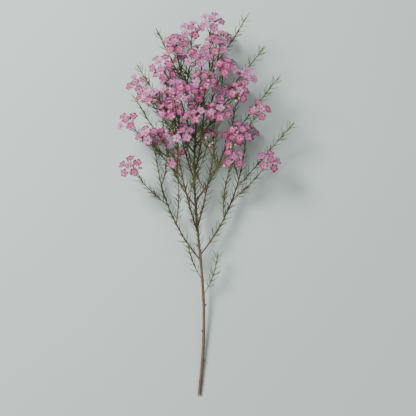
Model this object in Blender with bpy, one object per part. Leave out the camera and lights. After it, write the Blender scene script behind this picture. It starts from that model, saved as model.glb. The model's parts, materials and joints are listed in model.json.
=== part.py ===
"""A cut waxflower stem lying on a surface, in metres, +Z up, with its cut end towards -Y.

One woody main stem carries leafy branches in opposite pairs. Each twig of a branch ends in a
dome of five-petalled florets, and a few twigs run on past the flowers as bare leafy shoots.
The origin is the middle of the bottom of the whole stem's box.
"""

import math
import random
from dataclasses import dataclass

import bpy
import numpy as np
from mathutils import Matrix, Vector

MM = 0.001
UP = Vector((0, 0, 1))
SEED = 11

# Gap that separate pieces keep, and the gap from a floret or a needle to another piece
JOINT_GAP = 0.5 * MM
CLEAR_GAP = 0.9 * MM

# Main stem
STEM_LENGTH = 490 * MM
STEM_ROOT_RADIUS = 2.7 * MM
STEM_TIP_RADIUS = 1.0 * MM
STEM_SWAY = 7 * MM
STEM_RISE = 37 * MM
STEM_RISE_LENGTH = 350 * MM
STEM_SIDES = 8
STEM_RINGS = 25
STEM_RODS = 30
CUT_SLANT = -0.9
NODE_SWELL = 1.18
STUB_PLACES = (48 * MM, 92 * MM, 131 * MM)
STUB_LENGTH = 7 * MM
STUB_RADIUS = 1.1 * MM
STUB_TAPER = 0.8
STUB_SIDES = 5
STUB_LIFT = math.radians(32)
LOW_SHOOTS = ((1, 150 * MM, 62 * MM), (-1, 172 * MM, 54 * MM))
LOW_SHOOT_AHEAD = 0.6

# Branches, from the lowest pair to the top one: reach is their length, spread their angle from
# the stem and lift the angle that they rise to each side, flattened as the stem lies down
PAIRS = 7
FIRST_PAIR = 205 * MM
LAST_PAIR = 440 * MM
LOW_REACH = 190 * MM
TOP_REACH = 78 * MM
ROOT_SPREAD = math.radians(38)
TIP_SPREAD = math.radians(3)
LOW_LIFT = math.radians(2)
HIGH_LIFT = math.radians(64)
LIFT_DRAW = 0.12
FLATTENING = 0.62
PAIR_STAGGER = 4 * MM
TWIG_SIDES = 4
TWIG_RODS = 8
LEADER_LENGTH = 60 * MM
MOST_TWIST = 0.7
BRANCH_RADII = (1.25 * MM, 0.75 * MM)
MOST_SIDE_TWIGS = 3
SIDE_TWIG_RADII = (0.8 * MM, 0.6 * MM)
SIDE_TWIG_FIRST = 0.36
SIDE_TWIG_STEP = 0.17
SIDE_TWIG_SPREAD = math.radians(40)
SIDE_TWIG_REACH = 0.66
SIDE_TWIG_LEAST = 20 * MM
LOW_TWIG_RAISE = 0.5
HIGH_TWIG_RAISE = -0.1
SHOOT_RADII = (0.7 * MM, 0.4 * MM)
SHOOT_PLACE = 0.62
SHOOT_SPREAD = math.radians(27)
SHOOT_RAISE = 0.5
SHOOT_OVERTOP = 52 * MM

# Flower domes: each has a floret in the middle and a ring round it, which faces out less than it
# sits out, so that the dome is rather flat
END_FLORETS = 7
SIDE_FLORETS = (5, 6)
PEDUNCLE = 9 * MM
PEDUNCLE_RADIUS = 0.9 * MM
PEDUNCLE_FOOT = 0.8
PEDUNCLE_SIDES = 4
PEDICEL_RADIUS = 0.46 * MM
PEDICEL_STEP = 1.1 * MM
DOME_RADIUS = 15 * MM
RING_REACH = 1.1
RING_POLAR = math.radians(43)
RING_POLAR_STEP = math.radians(5)
RING_UPTURN = 0.75
LEAST_RING = 4
RING_TRIES = 8
DOME_SPACING = 34 * MM
DOME_CLEARANCE = 12 * MM
DOME_UPTURN = 1.15
TWIG_SPACING = 3 * MM
RELAX_STEPS = 80
SETTLE_STEPS = 4
PUSH = 0.3
LOWEST_TIP = 9 * MM
FLOOR_GAP = 1 * MM
FLORET_RADIUS = 6.7 * MM
FLORET_CUP = 1 * MM
FLORET_NOTCH = 0.42
FLORET_DEPTH = 2.5 * MM
FLORET_THROAT = 0.6 * MM
FLORET_HOLLOW = 0.3 * MM
PETALS = 5
PETAL_ROD_PART = 0.78
PETAL_ROD_RADIUS = 1.5 * MM
SHOULDER = math.radians(19)

# Needle leaves
NEEDLE_LENGTHS = (10 * MM, 15 * MM)
NEEDLE_RADIUS = 0.5 * MM
NEEDLE_SPREAD = math.radians(38)
NEEDLE_STEP = 36 * MM
SHOOT_NEEDLE_STEP = 18 * MM
LEAF_BASE = 1.5 * MM
BARE_BRANCH_ROOT = 18 * MM
BARE_TWIG_ROOT = 10 * MM

# Bookkeeping of the room that is taken
MOST_RODS = 9000
DOME_GROWER = 1000

# Finishes: colour, roughness
BARK = ((0.19, 0.10, 0.06), 0.8)
LEAF = ((0.16, 0.25, 0.07), 0.55)
PETAL = ((0.56, 0.16, 0.38), 0.45)


def stem_axis(along):
    """The point of the main stem's axis at this distance from the cut end."""
    part = min(along / STEM_RISE_LENGTH, 1)
    rise = STEM_RISE * part * part * (3 - 2 * part)
    sway = STEM_SWAY * math.sin(2.2 * math.pi * along / STEM_LENGTH)
    flat = STEM_ROOT_RADIUS * math.cos(math.pi / STEM_SIDES)
    return Vector((sway, along, flat + rise))


def stem_direction(along):
    """The direction of the main stem there, towards its tip."""
    step = 2 * MM
    return (stem_axis(along + step) - stem_axis(along - step)).normalized()


def stem_radius(along):
    """The radius of the main stem there, between its nodes."""
    return STEM_ROOT_RADIUS + (STEM_TIP_RADIUS - STEM_ROOT_RADIUS) * along / STEM_LENGTH


def across(direction, turn):
    """A unit vector square to a direction, turned round it by an angle from the level one."""
    level = direction.cross(UP).normalized()
    return Matrix.Rotation(turn, 3, direction) @ level


def leaning(direction, spread, turn):
    """A unit vector at the angle spread from a direction."""
    return direction * math.cos(spread) + across(direction, turn) * math.sin(spread)


@dataclass
class Twig:
    """A branch or branchlet, bent from its first heading towards its tip."""

    owner: str
    parent: "Twig | None"
    place: float
    heading: Vector
    tip: Vector
    radii: tuple
    flowers: int
    twist: float = 0
    rests: bool = False

    @property
    def root(self):
        return self.parent.point(self.place) if self.parent else stem_axis(self.place)

    @property
    def bend(self):
        return self.root + self.heading * (self.tip - self.root).length * 0.5

    def point(self, part):
        root, bend, tip = self.root, self.bend, self.tip
        return root.lerp(bend, part).lerp(bend.lerp(tip, part), part)

    def direction(self, part):
        root, bend, tip = self.root, self.bend, self.tip
        return (bend - root).lerp(tip - bend, part).normalized()

    def radius(self, part):
        return self.radii[0] + (self.radii[1] - self.radii[0]) * part

    @property
    def length(self):
        return (self.bend - self.root).length * 0.5 + (self.tip - self.root).length * 0.5

    @property
    def dome_axis(self):
        """The direction of the flower stalk at the tip, which turns a little up."""
        return (self.direction(1) + UP * DOME_UPTURN).normalized()

    @property
    def dome_centre(self):
        return self.tip + self.dome_axis * (JOINT_GAP + PEDUNCLE)


@dataclass
class Floret:
    """One flower: its stalk's root, its centre, where it faces, its radius and its own turn."""

    root: Vector
    centre: Vector
    facing: Vector
    radius: float
    turn: float

    @property
    def matrix(self):
        turned = Matrix.Rotation(self.turn, 4, "Z")
        return Matrix.Translation(self.centre) @ aimed(self.facing) @ turned

    def petal_tips(self):
        reach, tall = self.radius, FLORET_CUP + FLORET_HOLLOW
        angles = [math.tau * petal / PETALS for petal in range(PETALS)]
        return [self.matrix @ Vector((reach * math.cos(a), reach * math.sin(a), tall)) for a in angles]


def aimed(direction):
    """A rotation that takes +Z to a direction."""
    return direction.to_track_quat("Z", "Y").to_matrix().to_4x4()


def grown_twigs():
    """All twigs: the stem's own flowering top, two low shoots, then each branch with its twigs."""
    draw = random.Random(SEED)
    twigs = []
    for pair in range(PAIRS):
        up = pair / (PAIRS - 1)
        for side in (-1, 1):
            owner = f"leafy_branch_{2 * pair + (side + 3) // 2:02d}"
            place = FIRST_PAIR + (LAST_PAIR - FIRST_PAIR) * up + side * PAIR_STAGGER
            twigs += grown_branch(owner, pair, side, place, draw)
    top, onward = stem_axis(STEM_LENGTH), stem_direction(STEM_LENGTH)
    leader = Twig("main_stem", None, STEM_LENGTH - LEADER_LENGTH, onward, top, (0, 0), END_FLORETS)
    return [leader, *low_shoots(), *twigs]


def low_shoots():
    """Short leafy shoots on the lower stem, which are part of it."""
    shoots = []
    for side, place, length in LOW_SHOOTS:
        heading = fanned(side, STUB_LIFT, ROOT_SPREAD).normalized()
        tip = stem_axis(place) + (heading + stem_direction(place) * LOW_SHOOT_AHEAD).normalized() * length
        shoots.append(Twig("main_stem", None, place, heading, tip, SHOOT_RADII, 0))
    return shoots


def grown_branch(owner, pair, side, place, draw):
    """A branch with its side twigs and, on every other branch, a leafy shoot past the flowers."""
    up = pair / (PAIRS - 1)
    reach = (LOW_REACH + (TOP_REACH - LOW_REACH) * up**1.3) * draw.uniform(0.95, 1.05)
    lift = (HIGH_LIFT if pair % 2 else LOW_LIFT) + draw.uniform(-LIFT_DRAW, LIFT_DRAW)
    rooted = fanned(side, lift, ROOT_SPREAD * draw.uniform(0.92, 1.08))
    ended = fanned(side, lift, TIP_SPREAD * draw.uniform(0.7, 1.3))
    tip = stem_axis(place) + (rooted + ended) * reach * 0.5
    twist = draw.uniform(-MOST_TWIST, MOST_TWIST)
    branch = Twig(owner, None, place, rooted, tip, BRANCH_RADII, END_FLORETS, twist, pair % 2 == 0)
    grown = [branch]
    raised = HIGH_TWIG_RAISE if pair % 2 else LOW_TWIG_RAISE
    for number in range(round(MOST_SIDE_TWIGS - (MOST_SIDE_TWIGS - 1) * up)):
        at = SIDE_TWIG_FIRST + SIDE_TWIG_STEP * number
        to_right = (side > 0) == (number % 2 > 0)
        turn = (-raised if to_right else math.pi + raised) + draw.uniform(-0.3, 0.3)
        heading = leaning(branch.direction(at), SIDE_TWIG_SPREAD, turn)
        ahead = leaning(branch.direction(at), SIDE_TWIG_SPREAD * 0.5, turn)
        length = ((1 - at) * SIDE_TWIG_REACH * reach + SIDE_TWIG_LEAST) * draw.uniform(0.9, 1.1)
        tip = branch.point(at) + (heading + ahead) * length * 0.5
        florets, twist = draw.choice(SIDE_FLORETS), draw.uniform(-MOST_TWIST, MOST_TWIST)
        grown.append(Twig(owner, branch, at, heading, tip, SIDE_TWIG_RADII, florets, twist))
    if (pair + (side > 0)) % 2:
        turn = (-SHOOT_RAISE if side > 0 else math.pi + SHOOT_RAISE) + draw.uniform(-0.4, 0.4)
        heading = leaning(branch.direction(SHOOT_PLACE), SHOOT_SPREAD, turn)
        length = (1 - SHOOT_PLACE) * reach + SHOOT_OVERTOP
        tip = branch.point(SHOOT_PLACE) + heading * length
        grown.append(Twig(owner, branch, SHOOT_PLACE, heading, tip, SHOOT_RADII, 0))
    return grown


def fanned(side, lift, spread):
    """A direction at the angle spread from +Y, to one side of the stem, lifted and flattened."""
    outward = Vector((side * math.cos(lift), 0, FLATTENING * math.sin(lift)))
    return Vector((0, math.cos(spread), 0)) + outward * math.sin(spread)


def loosen(twigs):
    """Moves the tips until domes and twigs are clear of each other, and lays low domes down."""
    for _ in range(RELAX_STEPS):
        rods = [(number, *rod) for number, twig in enumerate(twigs) if number for rod in twig_rods(twig)]
        rods += [(0, *rod) for rod in stem_rods()]
        growing = np.array([rod[0] for rod in rods])
        owners = np.array([twigs[rod[0]].owner for rod in rods])
        starts, ends = np.array([rod[1] for rod in rods]), np.array([rod[2] for rod in rods])
        centres = np.array([twig.dome_centre if twig.flowers else twig.tip - UP for twig in twigs])
        for number, twig in enumerate(twigs[1:], 1):
            foreign = owners != twig.owner
            push = np.zeros(3)
            for start, end, _ in twig_rods(twig)[1:]:
                push += pushed(rod_gaps(start, end, starts[foreign], ends[foreign]), TWIG_SPACING)
            if twig.flowers:
                spot = twig.dome_centre
                others = np.arange(len(twigs)) != number
                push += pushed(np.array(spot) - centres[others], DOME_SPACING)
                passing = growing != number
                near = rod_gaps(spot, spot + UP * 0.1 * MM, starts[passing], ends[passing])
                push += pushed(near, DOME_CLEARANCE)
            twig.tip += Vector(push * PUSH)
            twig.tip.z = max(twig.tip.z, LOWEST_TIP)
            if twig.flowers:
                lowest = lowest_petal(twig, number)
                twig.tip.z -= lowest if twig.rests else min(lowest - FLOOR_GAP, 0)
    for number, twig in enumerate(twigs):
        for _ in range(SETTLE_STEPS if twig.rests else 0):
            twig.tip.z -= lowest_petal(twig, number)


def lowest_petal(twig, number):
    """The height of the lowest point of a twig's flower dome."""
    return min(point.z for floret in florets_of(twig, number) for point in floret_shape(floret)[0])


def pushed(gaps, wanted):
    """The sum of the moves away from all that is nearer than wanted."""
    far = np.maximum(np.linalg.norm(gaps, axis=1), 0.01 * MM)
    return (gaps / far[:, None] * np.maximum(wanted - far, 0)[:, None]).sum(axis=0)


def florets_of(twig, number, shift=0):
    """The florets of one dome: one in the middle and a ring round it, shifted by tries."""
    draw = random.Random(1000 * SEED + number)
    axis, middle = twig.dome_axis, twig.dome_centre
    ring = twig.flowers - 1
    polar = RING_POLAR + RING_POLAR_STEP * (ring - LEAST_RING)
    phase = draw.uniform(0, math.tau) + math.tau / ring * shift / RING_TRIES
    grown = []
    for place in range(twig.flowers):
        reach = DOME_RADIUS * draw.uniform(0.96, 1.04)
        if place == 0:
            aim = leaning(axis, draw.uniform(0, RING_POLAR_STEP), phase)
        else:
            turn = phase + math.tau * (place + draw.uniform(-0.04, 0.04)) / ring
            aim = leaning(axis, polar + draw.uniform(-0.4, 0.4) * RING_POLAR_STEP, turn)
            reach *= RING_REACH
        root = middle - axis * (MM + PEDICEL_STEP * place)
        facing = (aim + axis * RING_UPTURN).normalized()
        radius = FLORET_RADIUS * draw.uniform(0.93, 1.03)
        grown.append(Floret(root, middle + aim * reach, facing, radius, draw.uniform(0, math.tau)))
    return grown


class Space:
    """The rods that stand for what has been placed so far, each with the number of its grower."""

    def __init__(self):
        self.count = 0
        self.starts = np.zeros((MOST_RODS, 3))
        self.ends = np.zeros((MOST_RODS, 3))
        self.radii = np.zeros(MOST_RODS)
        self.growers = np.zeros(MOST_RODS, int)

    def add(self, grower, rods):
        for start, end, radius in rods:
            self.starts[self.count], self.ends[self.count] = start, end
            self.radii[self.count], self.growers[self.count] = radius, grower
            self.count += 1

    def free(self, grower, rods):
        """Whether these rods keep the gap to every rod of another grower."""
        foreign = self.growers[: self.count] != grower
        starts, ends = self.starts[: self.count][foreign], self.ends[: self.count][foreign]
        radii = self.radii[: self.count][foreign]
        for start, end, radius in rods:
            far = np.linalg.norm(rod_gaps(start, end, starts, ends), axis=1)
            if (far - radii - radius).min() < CLEAR_GAP:
                return False
        return True


def rod_gaps(start, end, starts, ends):
    """The shortest vector from each of many segments to one segment."""
    start, end = np.array(start), np.array(end)
    one, many, between = end - start, ends - starts, start - starts
    length, lengths = one @ one, (many * many).sum(axis=1)
    along, cross, behind = between @ one, many @ one, (many * between).sum(axis=1)
    spread = np.maximum(length * lengths - cross * cross, 1e-18)
    first = np.clip((cross * behind - along * lengths) / spread, 0, 1)
    second = np.clip((cross * first + behind) / lengths, 0, 1)
    first = np.clip((cross * second - along) / length, 0, 1)
    return (start + one * first[:, None]) - (starts + many * second[:, None])


def twig_rods(twig):
    """The rods that stand for a twig."""
    cuts = [twig.point(part / TWIG_RODS) for part in range(TWIG_RODS + 1)]
    return [(a, b, twig.radius(0.5)) for a, b in zip(cuts, cuts[1:])]


def twig_stops(twig, forks):
    """Where a twig's solid begins, and the places on it that need a ring, True where it is bare."""
    begin = 0
    if twig.parent is None and twig.owner != "main_stem":
        surface = stem_radius(twig.place) * NODE_SWELL + JOINT_GAP
        sine = twig.heading.cross(stem_direction(twig.place)).length
        begin = surface / sine / twig.length
    bare = [begin + BARE_BRANCH_ROOT * 0.5 / twig.length] if begin else []
    stops = [(fork, True) for fork in (*forks, *bare)]
    for node in leaf_nodes(twig, NEEDLE_STEP if twig.flowers else SHOOT_NEEDLE_STEP):
        if all(abs(node - fork) * twig.length > 3 * LEAF_BASE for fork, _ in stops):
            stops.append((node, False))
    return begin, sorted(stops)


def solid_rods(twig, forks):
    """The rods that stand for the straight lengths of a twig's solid."""
    begin, stops = twig_stops(twig, forks)
    parts = [begin, *(part for part, _ in stops), 1]
    return [(twig.point(a), twig.point(b), twig.radius(a)) for a, b in zip(parts, parts[1:])]


def stem_rods():
    """The rods that stand for the main stem."""
    cuts = [stem_axis(STEM_LENGTH * part / STEM_RODS) for part in range(STEM_RODS + 1)]
    return [(a, b, stem_radius(a.y) * NODE_SWELL) for a, b in zip(cuts, cuts[1:])]


def floret_rods(floret):
    """The rods that stand for a floret: its stalk and one along each petal."""
    middle, throat = floret.centre - floret.facing * MM, floret.centre - floret.facing * FLORET_DEPTH
    petals = [(middle, middle.lerp(tip, PETAL_ROD_PART), PETAL_ROD_RADIUS) for tip in floret.petal_tips()]
    return [(floret.root.lerp(throat, 0.1), throat, PEDICEL_RADIUS), (throat, middle, MM), *petals]


def placed_florets(twigs, space):
    """The florets of each dome that have room, by node name, with the twig that carries them."""
    placed = {}
    for number, twig in enumerate(twigs):
        if not twig.flowers:
            continue
        grower = DOME_GROWER + number
        space.add(grower, [(twig.tip + twig.dome_axis * MM, twig.dome_centre, PEDUNCLE_RADIUS)])
        best = []
        for shift in range(1 if twig.rests else RING_TRIES):
            tried = florets_of(twig, number, shift)
            kept = [floret for floret in tried if space.free(grower, floret_rods(floret))]
            best = max(best, kept, key=len)
        for floret in best:
            space.add(grower, floret_rods(floret))
        placed[f"flower_cluster_{len(placed) + 1:02d}"] = (twig, best)
    return placed


def leaf_nodes(twig, step):
    """The parts of a twig's length where leaves grow, from its tip back."""
    first = BARE_BRANCH_ROOT if twig.parent is None else BARE_TWIG_ROOT
    count = int((twig.length - first - LEAF_BASE * 2) / step) + 1
    return sorted((twig.length - LEAF_BASE * 1.5 - step * node) / twig.length for node in range(count))


def needles_at(twig, number, node, space, draw):
    """The tips of two opposite pairs of needles, the second a quarter turn on, where there is room."""
    tips = {}
    for row, side in ((0, 0), (0, 2), (1, 1), (1, 3)):
        part = node + (row - 0.5) * LEAF_BASE / twig.length
        turn = side * math.pi / 2 + twig.twist
        aim = leaning(twig.direction(part), NEEDLE_SPREAD + draw.uniform(-0.2, 0.2), turn)
        base = twig.point(part)
        tip = base + aim * draw.uniform(*NEEDLE_LENGTHS)
        rods = [(base.lerp(tip, 0.12), tip, NEEDLE_RADIUS)]
        if tip.z > FLOOR_GAP and space.free(number, rods):
            space.add(number, rods)
            tips[row, side] = tip
    return tips


def mesh_object(name, points, faces, finish):
    """A linked mesh object with one finish."""
    mesh = bpy.data.meshes.new(name)
    mesh.from_pydata(points, [], faces)
    mesh.validate()
    made = bpy.data.objects.new(name, mesh)
    mesh.materials.append(finish)
    bpy.context.scene.collection.objects.link(made)
    return made


def tube(centres, normals, radii, sides, slant=0, twist=0, peaks=None):
    """Points and faces of a tube with flat ends. A slant pulls its first ring back on one side.

    The peaks are points by ring and side: each raises the tube's face there to a thin spike.
    """
    points, faces = [], []
    for ring, (centre, normal, radius) in enumerate(zip(centres, normals, radii)):
        upright = normal.cross(across(normal, 0))
        for side in range(sides):
            out = across(normal, math.tau * (side - 0.5) / sides + twist) * radius
            back = normal * slant * out.dot(upright) if ring == 0 else Vector()
            points.append(centre + out + back)
    for ring in range(len(centres) - 1):
        for side in range(sides):
            a, b = ring * sides + side, ring * sides + (side + 1) % sides
            corners = (a, b, b + sides, a + sides)
            if peaks and (ring, side) in peaks:
                points.append(peaks[ring, side])
                top = len(points) - 1
                faces += [(one, other, top) for one, other in zip(corners, corners[1:] + corners[:1])]
            else:
                faces.append(corners)
    last = (len(centres) - 1) * sides
    faces.append(tuple(reversed(range(sides))))
    faces.append(tuple(range(last, last + sides)))
    return points, faces


def floret_shape(floret):
    """Points and faces of a cupped floret with blunt petals, on a three-sided stalk."""
    rim = []
    for petal in range(PETALS):
        middle = math.tau * petal / PETALS
        for turn, reach, tall in (
            (middle - SHOULDER, 1, FLORET_CUP),
            (middle + SHOULDER, 1, FLORET_CUP),
            (middle + math.pi / PETALS, FLORET_NOTCH, FLORET_CUP * 0.6),
        ):
            out = floret.radius * reach
            rim.append(Vector((out * math.cos(turn), out * math.sin(turn), tall + FLORET_HOLLOW)))
    stalk_turns = [math.tau * side / 3 for side in range(3)]
    throat_middle, foot = Vector((0, 0, -FLORET_DEPTH)), floret.matrix.inverted() @ floret.root
    rings = [
        ring_middle + Vector((wide * math.cos(a), wide * math.sin(a), 0))
        for wide, ring_middle in ((FLORET_THROAT, throat_middle), (PEDICEL_RADIUS, foot))
        for a in stalk_turns
    ]
    middle = Vector((0, 0, FLORET_HOLLOW))
    points = [floret.matrix @ point for point in (middle, *rim, *rings)]
    count, throat = len(rim), 1 + len(rim)
    nearest = [round(3 * math.atan2(spot.y, spot.x) / math.tau) % 3 for spot in rim]
    faces = []
    for place in range(count):
        following = (place + 1) % count
        near, next_near = nearest[place], nearest[following]
        faces.append((0, 1 + place, 1 + following))
        faces.append((1 + following, 1 + place, throat + near))
        if near != next_near:
            faces.append((1 + following, throat + near, throat + next_near))
    for side in range(3):
        following = (side + 1) % 3
        faces.append((throat + following, throat + side, throat + 3 + side, throat + 3 + following))
    faces.append((throat + 5, throat + 4, throat + 3))
    return points, faces


def fuse(name, base, extras, finish):
    """Joins a first shape and what grows from it into one object, by one Boolean union."""
    body = mesh_object(name, *base, finish)
    if not extras:
        return body
    group = bpy.data.collections.new(name)
    bpy.context.scene.collection.children.link(group)
    for number, shape in enumerate(extras):
        piece = mesh_object(f"{name}_extra_{number}", *shape, finish)
        bpy.context.scene.collection.objects.unlink(piece)
        group.objects.link(piece)
    union = body.modifiers.new("union", "BOOLEAN")
    union.operation = "UNION"
    union.operand_type = "COLLECTION"
    union.collection = group
    union.solver = "EXACT"
    with bpy.context.temp_override(object=body, active_object=body):
        bpy.ops.object.modifier_apply(modifier=union.name)
    for piece in list(group.objects):
        bpy.data.objects.remove(piece)
    bpy.data.collections.remove(group)
    return body


def finish_of(name, colour, roughness):
    """A Principled material that isn't metallic."""
    material = bpy.data.materials.new(name)
    material.use_nodes = True
    shader = material.node_tree.nodes["Principled BSDF"]
    shader.inputs["Base Color"].default_value = (*colour, 1)
    shader.inputs["Roughness"].default_value = roughness
    shader.inputs["Metallic"].default_value = 0
    return material


def twig_shape(twig, number, forks, space):
    """The tube of one twig with its needles, from its parent to its dome's stalk or its own end."""
    draw = random.Random(5000 * SEED + number)
    begin, stops = twig_stops(twig, forks)
    parts, peaks = [begin], {}
    for node, plain in stops:
        if plain:
            parts.append(node)
            continue
        tips = needles_at(twig, number, node, space, draw)
        peaks.update({(len(parts) + row, side): tip for (row, side), tip in tips.items()})
        parts += [node + row * LEAF_BASE / twig.length for row in (-1, 0, 1)]
    parts.append(1)
    normals = [twig.direction(part) for part in parts]
    if begin:
        along = stem_direction(twig.place)
        normals[0] = (twig.heading - along * twig.heading.dot(along)).normalized()
    if twig.flowers:
        normals[-1] = twig.dome_axis
    centres = [twig.point(part) for part in parts]
    return tube(centres, normals, [twig.radius(part) for part in parts], TWIG_SIDES, 0, twig.twist, peaks)


def stem_shape():
    """The main stem: a tube with a slanted cut and a swelling at every third ring."""
    stops = [STEM_LENGTH * ring / (STEM_RINGS - 1) for ring in range(STEM_RINGS)]
    normals = [stem_direction(stop) for stop in stops]
    normals[-1] = (stem_direction(STEM_LENGTH) + UP * DOME_UPTURN).normalized()
    radii = [stem_radius(stop) * (NODE_SWELL if ring % 3 == 1 else 1) for ring, stop in enumerate(stops)]
    return tube([stem_axis(stop) for stop in stops], normals, radii, STEM_SIDES, CUT_SLANT)


def stub_shapes():
    """Short stubs where side twigs of the lower stem were trimmed off."""
    shapes = []
    for number, place in enumerate(STUB_PLACES):
        base = stem_axis(place)
        aim = fanned(-1 if number % 2 else 1, STUB_LIFT, ROOT_SPREAD).normalized()
        ends = [base, base + aim * STUB_LENGTH]
        shapes.append(tube(ends, [aim, aim], [STUB_RADIUS, STUB_RADIUS * STUB_TAPER], STUB_SIDES))
    return shapes


def build():
    """Grows the stem and makes one object for the stem, for each branch and for each dome."""
    bark = finish_of("bark", *BARK)
    leaf = finish_of("leaf", *LEAF)
    petal = finish_of("petal", *PETAL)
    twigs = grown_twigs()
    loosen(twigs)

    space = Space()
    space.add(0, stem_rods())
    forks = [[other.place for other in twigs if other.parent is twig] for twig in twigs]
    for number, twig in enumerate(twigs[1:], 1):
        space.add(number, solid_rods(twig, forks[number]))
    domes = placed_florets(twigs, space)

    shapes = {"main_stem": [stem_shape(), *stub_shapes()]}
    for number, twig in enumerate(twigs[1:], 1):
        shapes.setdefault(twig.owner, []).append(twig_shape(twig, number, forks[number], space))
    made = []
    for name, (first, *others) in shapes.items():
        made.append(fuse(name, first, others, bark if name == "main_stem" else leaf))
    for name, (twig, florets) in domes.items():
        axis = twig.dome_axis
        ends = [twig.tip + axis * JOINT_GAP, twig.dome_centre]
        radii = [PEDUNCLE_RADIUS * PEDUNCLE_FOOT, PEDUNCLE_RADIUS]
        peduncle = tube(ends, [axis, axis], radii, PEDUNCLE_SIDES)
        made.append(fuse(name, peduncle, [floret_shape(floret) for floret in florets], petal))
    centre_on_floor(made)


def centre_on_floor(made):
    """Moves every piece so that the origin is the bottom centre of the whole stem's box."""
    corners = np.array([vertex.co for piece in made for vertex in piece.data.vertices])
    low, high = corners.min(axis=0), corners.max(axis=0)
    shift = Matrix.Translation((-(low[0] + high[0]) / 2, -(low[1] + high[1]) / 2, -low[2]))
    for piece in made:
        piece.data.transform(shift)


for old in list(bpy.data.objects):
    bpy.data.objects.remove(old)
build()
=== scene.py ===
"""A cut waxflower stem lying on a pale floor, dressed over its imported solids.

The stem grows here by the same rules and random draws as its solids, so every fine piece sits
where its solid is. Lengths are in metres, +Z is up and the cut end points to -Y.
"""

from __future__ import annotations

import json
import logging
import math
import random
from dataclasses import dataclass, field
from enum import Enum
from typing import Iterable, Iterator, Sequence

import bpy
import numpy as np
from mathutils import Matrix, Vector

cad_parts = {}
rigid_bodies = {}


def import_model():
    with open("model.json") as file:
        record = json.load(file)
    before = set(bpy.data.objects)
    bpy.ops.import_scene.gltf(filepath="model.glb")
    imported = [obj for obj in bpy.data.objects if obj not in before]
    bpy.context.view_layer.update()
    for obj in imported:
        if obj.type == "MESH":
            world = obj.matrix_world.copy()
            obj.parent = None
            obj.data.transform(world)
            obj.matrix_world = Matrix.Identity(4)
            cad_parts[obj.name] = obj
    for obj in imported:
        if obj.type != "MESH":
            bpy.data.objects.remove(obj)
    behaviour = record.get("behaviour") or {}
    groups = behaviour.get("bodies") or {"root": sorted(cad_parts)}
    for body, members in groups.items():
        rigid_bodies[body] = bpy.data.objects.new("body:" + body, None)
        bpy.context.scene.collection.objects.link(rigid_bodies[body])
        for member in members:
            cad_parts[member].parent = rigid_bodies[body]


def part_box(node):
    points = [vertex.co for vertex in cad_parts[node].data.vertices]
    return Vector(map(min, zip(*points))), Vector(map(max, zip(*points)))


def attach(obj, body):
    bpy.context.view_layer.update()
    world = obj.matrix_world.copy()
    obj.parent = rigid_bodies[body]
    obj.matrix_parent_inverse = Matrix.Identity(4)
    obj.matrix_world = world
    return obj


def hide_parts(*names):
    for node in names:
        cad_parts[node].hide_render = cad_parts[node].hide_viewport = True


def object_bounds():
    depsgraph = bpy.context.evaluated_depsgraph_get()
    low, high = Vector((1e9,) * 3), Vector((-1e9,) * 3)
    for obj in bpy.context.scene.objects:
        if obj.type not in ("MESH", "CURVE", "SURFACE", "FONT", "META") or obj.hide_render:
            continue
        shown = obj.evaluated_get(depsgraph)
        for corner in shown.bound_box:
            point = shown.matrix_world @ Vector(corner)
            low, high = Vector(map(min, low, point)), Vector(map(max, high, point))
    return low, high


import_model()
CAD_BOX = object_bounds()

MM = 0.001
UP = Vector((0, 0, 1))
SEED = 11
LEAST_DISTANCE = 0.01 * MM
LEAST_SPREAD = 1e-18
log = logging.getLogger("waxflower")

Rod = tuple[Vector, Vector, float]
Colour = tuple[float, float, float]
Profile = Sequence[tuple[float, float]]


class Draws(Enum):
    """What draws at random, each with a seed of its own."""

    BRANCHING = 1
    BARK = 13
    DOME = 1000
    FLOWERS = 3000
    COARSE_NEEDLES = 5000
    FINE_NEEDLES = 7000
    TWIG_SKIN = 9000

    def start(self, number: int = 0) -> random.Random:
        """The draws of the thing with this number."""
        return random.Random(self.value * SEED + number)


def across(direction: Vector, turn: float) -> Vector:
    """A unit vector square to a direction, turned round it by an angle from the level one."""
    level = direction.cross(UP).normalized()
    return Matrix.Rotation(turn, 3, direction) @ level


def leaning(direction: Vector, spread: float, turn: float) -> Vector:
    """A unit vector at the angle spread from a direction."""
    return direction * math.cos(spread) + across(direction, turn) * math.sin(spread)


def aimed(direction: Vector) -> Matrix:
    """A rotation that takes +Z to a direction."""
    return direction.to_track_quat("Z", "Y").to_matrix().to_4x4()


def bent_point(start: Vector, bend: Vector, end: Vector, part: float) -> Vector:
    """The point at this part of a curve from start to end that leans towards bend."""
    return start.lerp(bend, part).lerp(bend.lerp(end, part), part)


def bent_direction(start: Vector, bend: Vector, end: Vector, part: float) -> Vector:
    """The direction of that curve there."""
    return (bend - start).lerp(end - bend, part).normalized()


def ring_angles(sides: int) -> np.ndarray:
    """The angles of a ring's points."""
    return math.tau * np.arange(sides) / sides


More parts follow.
